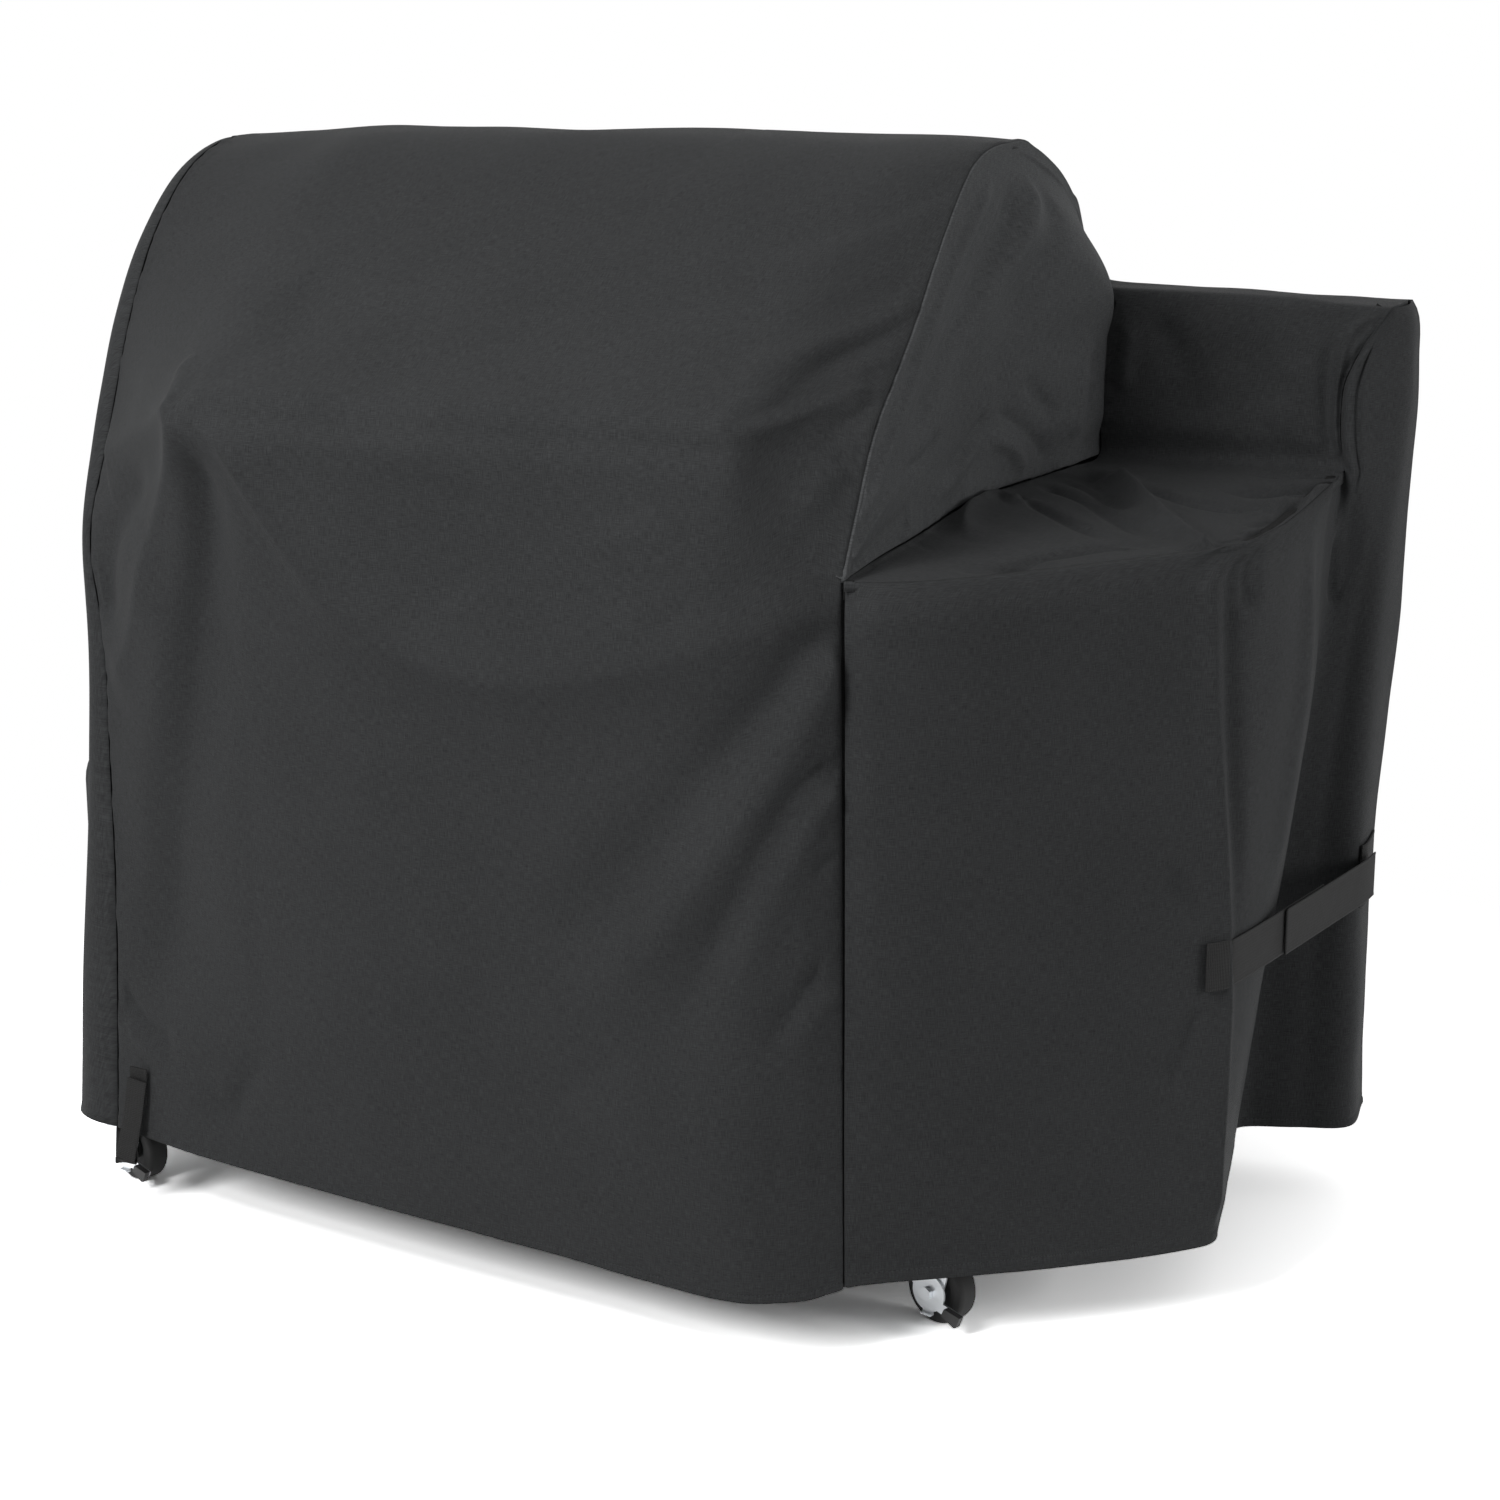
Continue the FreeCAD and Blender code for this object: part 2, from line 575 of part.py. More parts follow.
def axle_bolt(outer_y):
    """Bolt through fork and wheel: head outside at outer_y, nut on the far side."""
    reach = FORK_GAP + FORK_T
    corner_r, head_h = BOLT_HEAD
    shank = disc(AXLE_R, outer_y, reach + NUT_H + OVERLAP - outer_y)
    head = hexagon(BOLT_FLATS, outer_y - head_h, head_h)
    head = head.common(disc(corner_r, outer_y - head_h, head_h))
    return shank.fuse(head).fuse(hexagon(BOLT_FLATS, reach + BOLT_GAP, NUT_H))


def brake_lever():
    """Pressed plate on the axle bolt, with a tab that bears on the tyre and a tread arm."""
    body = disc(LEVER_R, LEVER_Y, LEVER_T)
    for outline in (LEVER_ARM, LEVER_TAB):
        body = body.fuse(plate(from_axle(outline), LEVER_Y, LEVER_T))
    (x_low, x_high), (z_low, z_high), out = LEVER_TAB_FOOT
    foot = box((TRAIL + x_low, LEVER_Y - out, z_low), (TRAIL + x_high, LEVER_Y, z_high))
    return body.fuse(foot).cut(through(AXLE_R + RUNNING))


def brake_pedal():
    """Moulded tread clipped over the lever's arm."""
    return plate(from_axle(PEDAL), LEVER_Y - PEDAL_T, PEDAL_T)


def place_caster(shape, x, y):
    shape = shape.copy()
    shape.rotate(Vector(), Vector(0, 0, 1), HEADING)
    shape.translate(Vector(x, y, 0))
    return shape


def casters():
    """Front casters have a brake, and a bolt head that stands outside its lever."""
    pieces = {}
    for end, y in zip(("front", "rear"), LEG_Y):
        braked = end == "front"
        head_y = LEVER_Y if braked else -FORK_GAP - FORK_T
        kit = {"caster_stem": stem(), "caster_fork": fork(), "caster_tyre": tyre(),
               "caster_hub": hub(), "caster_bolt": axle_bolt(head_y - BOLT_GAP)}
        if braked:
            kit.update(brake_lever=brake_lever(), brake_pedal=brake_pedal())
        for side, x in zip(("left", "right"), LEG_X):
            for part, shape in kit.items():
                pieces[f"{end}_{side}_{part}"] = place_caster(shape, x, y)
    return pieces


# ---------------------------------------------------------------- all nodes
def build():
    nodes = {
        "main_panel": main_panel(), "left_end_panel": left_end_panel(),
        "lid_end_panel": lid_end_panel(), "shelf_top_panel": shelf_top_panel(),
        "side_panel": side_panel(), "hopper_front_panel": hopper_front_panel(),
        "hopper_top_panel": hopper_top_panel(), "hopper_back_panel": hopper_back_panel(),
        "cinch_strap": cinch_strap(), "cinch_anchor": cinch_anchor(),
        "rear_strap": rear_strap(), "rear_strap_patch": rear_strap_patch(),
        "leg_strap_tail": leg_strap_tail(), "leg_strap_patch": leg_strap_patch(),
        "leg_strap_loop": leg_strap_loop(),
        "lid_form": lid_form(), "firebox_form": firebox_form(),
        "handle_form": handle_form(), "handle_posts": handle_posts(),
        "shelf_form": shelf_form(), "hopper_form": hopper_form(),
        "shelf_bracket": shelf_bracket(), "firebox_bearer": firebox_bearer(),
    }
    for side, x in zip(("left", "right"), LEG_X):
        for end, y in zip(("front", "rear"), LEG_Y):
            nodes[f"{end}_{side}_leg"] = leg(x, y)
    nodes.update(rails())
    nodes.update(casters())
    return nodes


os.makedirs("parts", exist_ok=True)
for node, shape in build().items():
    export(node, shape)
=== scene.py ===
# %% [markdown]
# # A fitted cloth cover over a grill on casters
# The imported model is the frame: every piece below goes where its solids are, in metres, with
# the front towards -Y. First the frame is loaded.

# %% Load the frame
import json
import math

import bmesh
import bpy
import numpy as np
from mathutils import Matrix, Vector, noise


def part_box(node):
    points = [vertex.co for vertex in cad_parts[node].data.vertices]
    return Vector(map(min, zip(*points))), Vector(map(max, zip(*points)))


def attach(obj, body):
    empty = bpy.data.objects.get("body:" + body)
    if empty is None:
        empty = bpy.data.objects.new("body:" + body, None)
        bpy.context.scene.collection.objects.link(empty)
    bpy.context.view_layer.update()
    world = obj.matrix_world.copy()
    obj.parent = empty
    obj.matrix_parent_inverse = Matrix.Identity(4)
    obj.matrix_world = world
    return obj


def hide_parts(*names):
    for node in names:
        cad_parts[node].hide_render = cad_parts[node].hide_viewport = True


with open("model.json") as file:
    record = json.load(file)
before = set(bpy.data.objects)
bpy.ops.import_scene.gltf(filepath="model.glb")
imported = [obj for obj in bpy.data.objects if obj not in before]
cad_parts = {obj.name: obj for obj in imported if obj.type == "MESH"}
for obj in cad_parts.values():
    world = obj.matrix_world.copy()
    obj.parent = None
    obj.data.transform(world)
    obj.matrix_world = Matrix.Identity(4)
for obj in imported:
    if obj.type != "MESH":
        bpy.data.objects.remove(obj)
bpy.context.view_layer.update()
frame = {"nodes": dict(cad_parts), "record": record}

# %% [markdown]
# ## Camera
# A long lens stands a little above the top of the cover and looks down at its front from the
# right. Position and aim are plain numbers in metres and degrees; the aim is turned from
# "straight down" by the pitch and then round the vertical.

# %% Place the camera
LENS_MM = 72.8
EYE = (1.3446, -2.935, 1.350)
HEADING, PITCH = 23.4, 14.07

camera = bpy.data.objects.new("camera", bpy.data.cameras.new("camera"))
camera.data.lens = LENS_MM
camera.data.sensor_width = 36
camera.location = EYE
camera.rotation_euler = (math.radians(90 - PITCH), 0, math.radians(HEADING))
bpy.context.scene.collection.objects.link(camera)
bpy.context.scene.camera = camera
print("camera at", EYE)

# %% [markdown]
# ## Smooth lines and surfaces
# Cloth hangs in smooth curves between a few places that hold it. Two helpers make such
# curves: `Line` runs smoothly through points and is read by its share of length, and `pulls`
# gives the weights of a smooth surface through a small net of points. Both are the
# Catmull-Rom rule, which passes through every point that it is given.

# %% Lines and nets
def pulls(count, where):
    """How much each of count points pulls on a smooth line at each place from 0 to count - 1."""
    where = np.asarray(where, float)
    base = np.clip(np.floor(where).astype(int), 0, count - 2)
    t = where - base
    row = np.arange(len(where))
    share = np.zeros((len(where), count + 2))
    share[row, base] = (-t + 2 * t**2 - t**3) / 2
    share[row, base + 1] = (2 - 5 * t**2 + 3 * t**3) / 2
    share[row, base + 2] = (t + 4 * t**2 - 3 * t**3) / 2
    share[row, base + 3] = (t**3 - t**2) / 2
    share[:, 1] += 2 * share[:, 0]
    share[:, 2] -= share[:, 0]
    share[:, -2] += 2 * share[:, -1]
    share[:, -3] -= share[:, -1]
    return share[:, 1:-1]


class Line:
    """A smooth line through points, read by its share of length from 0 to 1."""
    STEPS = 16

    def __init__(self, points):
        points = np.asarray(points, float)
        where = np.linspace(0, len(points) - 1, self.STEPS * (len(points) - 1) + 1)
        self.dense = pulls(len(points), where) @ points
        run = np.linalg.norm(np.diff(self.dense, axis=0), axis=1)
        self.length = run.sum()
        self.share = np.concatenate([[0], np.cumsum(run)]) / self.length
        self.knots = self.share[::self.STEPS]

    def at(self, share):
        share = np.asarray(share, float)
        return np.stack([np.interp(share, self.share, c) for c in self.dense.T], axis=-1)


def ease(low, high, x):
    """0 below low, 1 above high, and a smooth rise between."""
    t = np.clip((x - low) / (high - low), 0, 1)
    return t * t * (3 - 2 * t)


def bell(x):
    return np.exp(-np.square(x))


def graded(count, low_edge=1.0, high_edge=1.0, zones=()):
    """count + 1 places from 0 to 1, closer together at the ends by those factors, and
    closer by a factor in each zone (from, to, factor)."""
    x = np.linspace(0, 1, 400)
    density = 1 + (low_edge - 1) * bell(x / 0.05) + (high_edge - 1) * bell((1 - x) / 0.05)
    for start, end, factor in zones:
        density *= 1 + (factor - 1) * ease(start - .03, start, x) * ease(end + .03, end, x)
    total = np.concatenate([[0], np.cumsum((density[1:] + density[:-1]) / 2)])
    return np.interp(np.linspace(0, total[-1], count + 1), total, x)


print("a place half way along three points:", Line([(0, 0), (1, 1), (2, 0)]).at(0.5))

# %% [markdown]
# ## A sheet of cloth
# Each panel is one grid made with `bmesh.ops.create_grid`. A function says where every grid
# point hangs, folds push it along the cloth's own normal, and a sewn edge is turned in the
# way a seam allowance is, which leaves the fine dark line between two panels. The cloth's own
# measure, in metres along and across, is kept as a UV map named "cloth", so that the weave
# follows it. Solidify gives the sheet its thickness.

# %% Make a sheet
CLOTH_THICK = 0.0010
ALLOWANCE = 0.009        # how far a seam allowance is turned in
ROLL = 0.0016            # radius of the roll beside a seam
SEAM_GAP = 0.0009        # each edge stands this far from the seam's line


def normals_of(place):
    """Unit normals of an array of places, rows by columns."""
    along = np.gradient(place, axis=0)
    across = np.gradient(place, axis=1)
    n = np.cross(across, along)
    size = np.linalg.norm(n, axis=2, keepdims=True)
    return n / np.maximum(size, 1e-12)


def facing(place, axis, way=1):
    """Unit normals that look along an axis (0, 1 or 2), or against it where way is -1."""
    normal = normals_of(place)
    return normal * (way * np.sign(normal[40, 60, axis]))      # a place well inside any sheet


def turned_in(place, normal, sides):
    """Adds a seam allowance at the named sides: low and high columns, first and last rows."""
    for side in sides:
        axis, last = {"low": (1, 0), "high": (1, 1), "first": (0, 0), "last": (0, 1)}[side]
        pick = -1 if last else 0
        edge = np.take(place, pick, axis=axis)
        n = np.take(normal, pick, axis=axis)
        back = np.take(place, -2 if last else 1, axis=axis) - edge
        size = np.maximum(np.linalg.norm(back, axis=1, keepdims=True), 1e-6)
        edge = edge + back * np.minimum(SEAM_GAP / size, .5)
        sunk = np.expand_dims(edge - n * ROLL, axis)
        deep = np.expand_dims(edge - n * ALLOWANCE, axis)
        same = np.expand_dims(n, axis)
        extra = [sunk, deep] if last else [deep, sunk]
        trimmed = np.delete(place, pick % place.shape[axis], axis=axis)
        kept = np.delete(normal, pick % place.shape[axis], axis=axis)
        parts = [trimmed, *extra] if last else [*extra, trimmed]
        place = np.concatenate(parts, axis=axis)
        normal = np.concatenate([kept, same, same] if last else [same, same, kept], axis=axis)
    return place, normal


def sheet_mesh(name, place, measure, keep=None, flip=False, thick=CLOTH_THICK):
    """A solid sheet from places and cloth measures, rows by columns. A face stays only
    where keep is true at all its corners."""
    rows, columns = place.shape[:2]
    bm = bmesh.new()
    bmesh.ops.create_grid(bm, x_segments=columns - 1, y_segments=rows - 1, size=0.5)
    uv = bm.loops.layers.uv.new("cloth")
    spot = {}
    for v in bm.verts:
        column = round((v.co.x + 0.5) * (columns - 1))
        row = round((v.co.y + 0.5) * (rows - 1))
        spot[v] = (row, column)
        v.co = place[row, column]
    dropped = []
    for face in bm.faces:
        corners = [spot[v] for v in face.verts]
        for loop, corner in zip(face.loops, corners):
            loop[uv].uv = measure[corner]
        if keep is not None and not all(keep[c] for c in corners):
            dropped.append(face)
    bmesh.ops.delete(bm, geom=dropped, context="FACES")
    bmesh.ops.remove_doubles(bm, verts=bm.verts, dist=2e-5)
    if flip:
        bmesh.ops.reverse_faces(bm, faces=bm.faces)
    mesh = bpy.data.meshes.new(name)
    bm.to_mesh(mesh)
    bm.free()
    mesh.shade_smooth()
    obj = bpy.data.objects.new(name, mesh)
    bpy.context.scene.collection.objects.link(obj)
    wall = obj.modifiers.new("thickness", "SOLIDIFY")
    wall.thickness = thick
    wall.offset = -1
    return obj


def measured(place):
    """The cloth's own measure: metres along each row and up each column from the middle."""
    across = np.linalg.norm(np.diff(place, axis=1), axis=2)
    along = np.linalg.norm(np.diff(place, axis=0), axis=2)
    u = np.cumsum(np.pad(across, ((0, 0), (1, 0))), axis=1)
    v = np.cumsum(np.pad(along, ((1, 0), (0, 0))), axis=0)
    middle = place.shape[1] // 2
    u = u - u[:, middle:middle + 1]
    return np.stack([u, np.broadcast_to(v[:, middle:middle + 1], u.shape)], axis=-1)


# %% [markdown]
# On the real cover a binding tape is folded over the raw edges inside every seam. From outside
# it is only the dark line at the bottom of the seam; its finish is nearly black, which is painted
# shade for the bottom of that narrow groove. A black line could be painted into the cloth's finish
# instead, but the tape also closes the slit between the two turned-in edges, so light from inside
# never shows through. Each tape is a narrow grid that follows its seam.

# %% Bind a seam
BINDING, BINDING_DEPTH = 0.020, 0.0042
TAPE_THICK = 0.0008
bindings = []


def bound(name, seam, *faces, deep=BINDING_DEPTH, wide=BINDING):
    """Binding tape under a seam; faces are the directions that its two panels look in."""
    seam = np.asarray(seam, float)
    ahead = np.gradient(seam, axis=0)
    ahead /= np.linalg.norm(ahead, axis=1, keepdims=True)
    looks = [np.broadcast_to(np.asarray(f, float), seam.shape) for f in faces]
    out = sum(looks)
    out = out - ahead * (out * ahead).sum(1, keepdims=True)
    out /= np.linalg.norm(out, axis=1, keepdims=True)
    across = np.cross(ahead, out)
    tilt = np.clip((looks[0] * out).sum(1), .3, 1)     # how squarely it faces the first panel
    fall = np.sqrt(1 - tilt**2) / tilt
    t = np.linspace(-.5, .5, 5) * wide
    depth = deep + fall[:, None] * np.abs(t)
    place = seam[:, None] + across[:, None] * t[:, None] - out[:, None] * depth[..., None]
    along = np.cumsum(np.pad(np.linalg.norm(np.diff(seam, axis=0), axis=1), (1, 0)))
    measure = np.stack(np.broadcast_arrays(t[None], along[:, None]), axis=-1)
    tape = sheet_mesh(name, place, measure, thick=TAPE_THICK)
    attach(tape, "cover")
    bindings.append(tape)


# %% [markdown]
# ## Folds
# Every fold is a short smooth line on the panel with a width and a height, high in its
# middle and running out at both ends. `fold` gives its height at every point of the panel:
# positive stands out, negative sinks in. `crumple` adds the faint unevenness that all cloth
# has, from Blender's own noise, which gives the same values on every run.

# %% Folds and crumple
def fold(a, b, line, width, height, lean=0.0, fade=(0.25, 0.25), sharp=0.0):
    """Height of one fold at panel places (a, b). lean makes the flank on its right steeper,
    and a sharp crest (0.1 to 0.5) has flat flanks like a tent."""
    path = Line(line)
    share = np.linspace(0, 1, 64)
    spots = path.at(share)
    ahead = np.gradient(spots, axis=0)
    ahead /= np.linalg.norm(ahead, axis=1, keepdims=True)
    flat = np.stack([a.ravel(), b.ravel()], axis=1)
    widths = np.interp(share, [0, 1], np.broadcast_to(width, 2))
    reach = (5.5 if sharp else 3.2) * widths.max() / (1 - abs(lean))
    low, high = spots.min(0) - reach, spots.max(0) + reach
    near = ((flat > low) & (flat < high)).all(1)
    made = np.zeros(len(flat))
    if not near.any():
        return made.reshape(a.shape)
    gap = flat[near, None, :] - spots[None]
    best = (gap**2).sum(2).argmin(1)
    off = gap[np.arange(len(best)), best]
    side = ahead[best, 0] * off[:, 1] - ahead[best, 1] * off[:, 0]
    beyond = (ahead[best] * off).sum(1)
    past = np.where((best == 0) | (best == len(share) - 1), beyond, 0)
    at = np.clip(share[best] + beyond / path.length, 0, 1)
    wide = np.interp(at, share, widths)
    cross = np.hypot(side, past) / wide * (1 + lean * np.sign(-side))
    shape = np.exp(sharp - np.hypot(cross, sharp)) if sharp else bell(cross)
    run = ease(0, fade[0], at) * ease(0, fade[1], 1 - at)
    made[near] = height * shape * run
    return made.reshape(a.shape)


def crumple(place, size, height, seed):
    """Smooth noise over the sheet, size metres across."""
    flat = place.reshape(-1, 3) / size + seed
    made = np.array([noise.noise(Vector(p)) for p in flat])
    return height * made.reshape(place.shape[:2])


def puckers(share_of_edge, distance, pitch, height, reach, seed):
    """Small waves that a tight seam draws into the cloth beside it."""
    along = share_of_edge / pitch
    wave = np.array([noise.noise(Vector((s, seed, 0.5))) for s in along.ravel()])
    return (height * wave.reshape(along.shape) * np.exp(-distance / reach)
            * ease(0, .004, distance))


# %% [markdown]
# Every lower edge is a hem: the cloth is folded up inside by a centimetre and stitched, so a
# narrow band is a little thicker and the line of stitches sinks in above it.

# %% A hem
HEM_BAND, HEM_STEP = 0.010, 0.0010
STITCH_LINE, STITCH_SINK = 0.0015, 0.0012      # below the band's top, and how deep it sinks


def hemmed(above):
    """Height of the doubled band and its stitch line, by distance above the edge."""
    band = HEM_STEP * (1 - ease(HEM_BAND, HEM_BAND + .002, above))
    return band - STITCH_SINK * bell((above - HEM_BAND + STITCH_LINE) / .0016)


def hem_rows(total, coarse, zones=()):
    """Distances up from a hem: fine in the band, then coarse ones, closer in the zones."""
    fine = [0, .0022, .0045, .0065, .0080, .0095, .0115, .0140, .0175]
    return np.concatenate([fine, .0225 + graded(coarse - 1, zones=zones) * (total - .0225)])


# %% [markdown]
# ## The main panel
# One length of cloth covers the front, the top and the back. A cloth simulation over the forms
# would hang it too, but it never puts a fold where it is wanted twice. Five sections hold the
# shape here instead: the left seam, the two ends of the lid's handle, the rounded corner and
# the right seam. A section is a line of (y, z) points from the front hem over the top to the
# back hem, and the last part of all five is the same.

# %% The main panel's sections
MIDDLE_X = 0.0079
HEM_Z = 0.090
BACK = [(.376, 1.052), (.400, .985), (.409, .910), (.4115, .830), (.412, .740), (.412, .600),
        (.412, .430), (.412, .260), (.412, HEM_Z)]
OVER = [(.256, 1.158), (.335, 1.104)]
LEFT_SEAM = [(-.238, HEM_Z), (-.220, .350), (-.216, .560), (-.204, .765), (-.185, .873),
             (-.162, .944), (-.131, 1.014), (-.084, 1.088), (-.014, 1.153), (.064, 1.184),
             (.140, 1.183)] + OVER + BACK
HANDLE_LEFT = [(-.300, HEM_Z), (-.318, .270), (-.335, .450), (-.352, .640), (-.368, .780),
               (-.386, .880), (-.390, .932), (-.366, .966), (-.290, 1.022), (-.190, 1.092),
               (-.090, 1.158), (-.010, 1.194), (.060, 1.203), (.140, 1.197)] + OVER + BACK
HANDLE_RIGHT = [(-.379, HEM_Z), (-.386, .270), (-.391, .450), (-.397, .640), (-.402, .780),
                (-.408, .880), (-.410, .935), (-.390, .968), (-.310, 1.024), (-.200, 1.096),
                (-.095, 1.160), (-.010, 1.194), (.060, 1.203), (.140, 1.199)] + OVER + BACK
CORNER = [(-.366, HEM_Z), (-.374, .270), (-.381, .450), (-.387, .640), (-.386, .780),
          (-.374, .860), (-.352, .925), (-.318, .970), (-.252, 1.032), (-.160, 1.106),
          (-.075, 1.168), (-.005, 1.195), (.065, 1.202), (.140, 1.199)] + OVER + BACK
RIGHT_SEAM = [(-.306, HEM_Z), (-.319, .270), (-.332, .450), (-.348, .640), (-.361, .800),
              (-.358, .826), (-.325, .888), (-.288, .949), (-.237, .995), (-.185, 1.042),
              (-.120, 1.112), (-.052, 1.172), (.000, 1.194), (.070, 1.200),
              (.140, 1.196)] + OVER + BACK
SEAM_X, SEAM_Z, SEAM_LEAN = 0.333 - MIDDLE_X, 0.817, 0.0205
LEFT_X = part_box("main_panel")[0].x
LEFT_PUSH, PUSH_Z, PUSH_REACH = .020, .765, .085
HEM_DROP_X = (LEFT_X, -.11, .04, .19, .29, .326)      # places along the front's hem, and how
HEM_DROP = (.003, .000, -.004, -.0085, -.008, -.004)  # far above its level the hem is there
FRONT_SHARE, BACK_SHARE = 0.621, 0.379      # of the rows: front and top, then the back


def right_x(z):
    """The leaning plane of the right seam."""
    return SEAM_X + SEAM_LEAN * (z - SEAM_Z)


def left_x(z):
    """The left seam, pushed out by the fold from the handle's end."""
    return LEFT_X - LEFT_PUSH * bell((z - PUSH_Z) / PUSH_REACH)


class Section:
    """A section of the main panel, with its hem, ridge, crest, back edge and back hem marked."""
    MARKS = (0, 0.316, 0.518, FRONT_SHARE, 1)

    def __init__(self, x, points, ridge, crest):
        self.x = x
        self.line = Line(points)
        marked = (0, ridge, crest, len(points) - 1 - len(BACK), len(points) - 1)
        self.shares = [self.line.knots[i] for i in marked]

    def at(self, v):
        return self.line.at(np.interp(v, self.MARKS, self.shares))


SECTIONS = [Section(LEFT_X, LEFT_SEAM, 5, 9), Section(-.377 - MIDDLE_X, HANDLE_LEFT, 6, 12),
            Section(.245 - MIDDLE_X, HANDLE_RIGHT, 6, 12), Section(.290 - MIDDLE_X, CORNER, 7, 12),
            Section(SEAM_X, RIGHT_SEAM, 7, 13)]
FRONT_LENGTH = SECTIONS[2].shares[3] * SECTIONS[2].line.length
BACK_LENGTH = SECTIONS[2].line.length - FRONT_LENGTH
print("section lengths:", [round(float(s.line.length), 3) for s in SECTIONS])

# %% [markdown]
# Between the sections the cloth is drawn straight. Straight lines alone would leave a hard
# crease at every section, so each place takes the mean of its neighbourhood, which is narrow
# over something hard, such as the handle's ridge, and wide where the cloth hangs free.

# %% Hang the main panel
def main_places(u, v):
    """Places of the main panel for columns u and rows v."""
    u, v = np.meshgrid(u, v)
    held = np.array([s.at(v[:, 0]) for s in SECTIONS])
    stations = np.array([(s.x - LEFT_X) / (SEAM_X - LEFT_X) for s in SECTIONS])
    ridge = bell((v - Section.MARKS[1]) / 0.035)
    soft = 0.02 + 0.07 * (1 - ridge) * ease(0.5, 0.2, v) + 0.02 * ease(.3, .6, v)
    soft = soft * (1 - .45 * ease(.70, .90, u)) + .15 * ease(.31, .20, v) * ease(.6, .4, u)
    soft = np.minimum(soft, np.minimum(u, 1 - u) * 0.9)
    yz = 0
    shifts = np.linspace(-1, 1, 21)           # the neighbourhood, in shares of its half width
    for shift in shifts:
        at = np.clip(u + shift * soft, 0, 1)
        for k in range(len(SECTIONS)):
            hat = np.interp(at, stations, np.eye(len(SECTIONS))[k])
            yz = yz + hat[..., None] * held[k][:, None, :] / len(shifts)
    z = yz[..., 1]
    low = np.where(v < .5, left_x(z), LEFT_X)
    x = LEFT_X + u * (right_x(z) - LEFT_X) + (low - LEFT_X) * (1 - u) ** 6
    drop = np.interp(x, HEM_DROP_X, HEM_DROP) * ease(.30, HEM_Z, z) * (v < .5)
    return np.stack([x, yz[..., 0], z + drop], axis=2)


# %% [markdown]
# The folds of the front start where something holds the cloth: at the two ends of the handle,
# at the shelf's corner on the right seam and at small gathers along the seams. They could be
# sculpted, but a list of folds can be read and changed again. Each line below is one fold, as
# points (x, z) on the front, then its width and height in metres, how it fades at its two ends
# and how sharp its crest is.

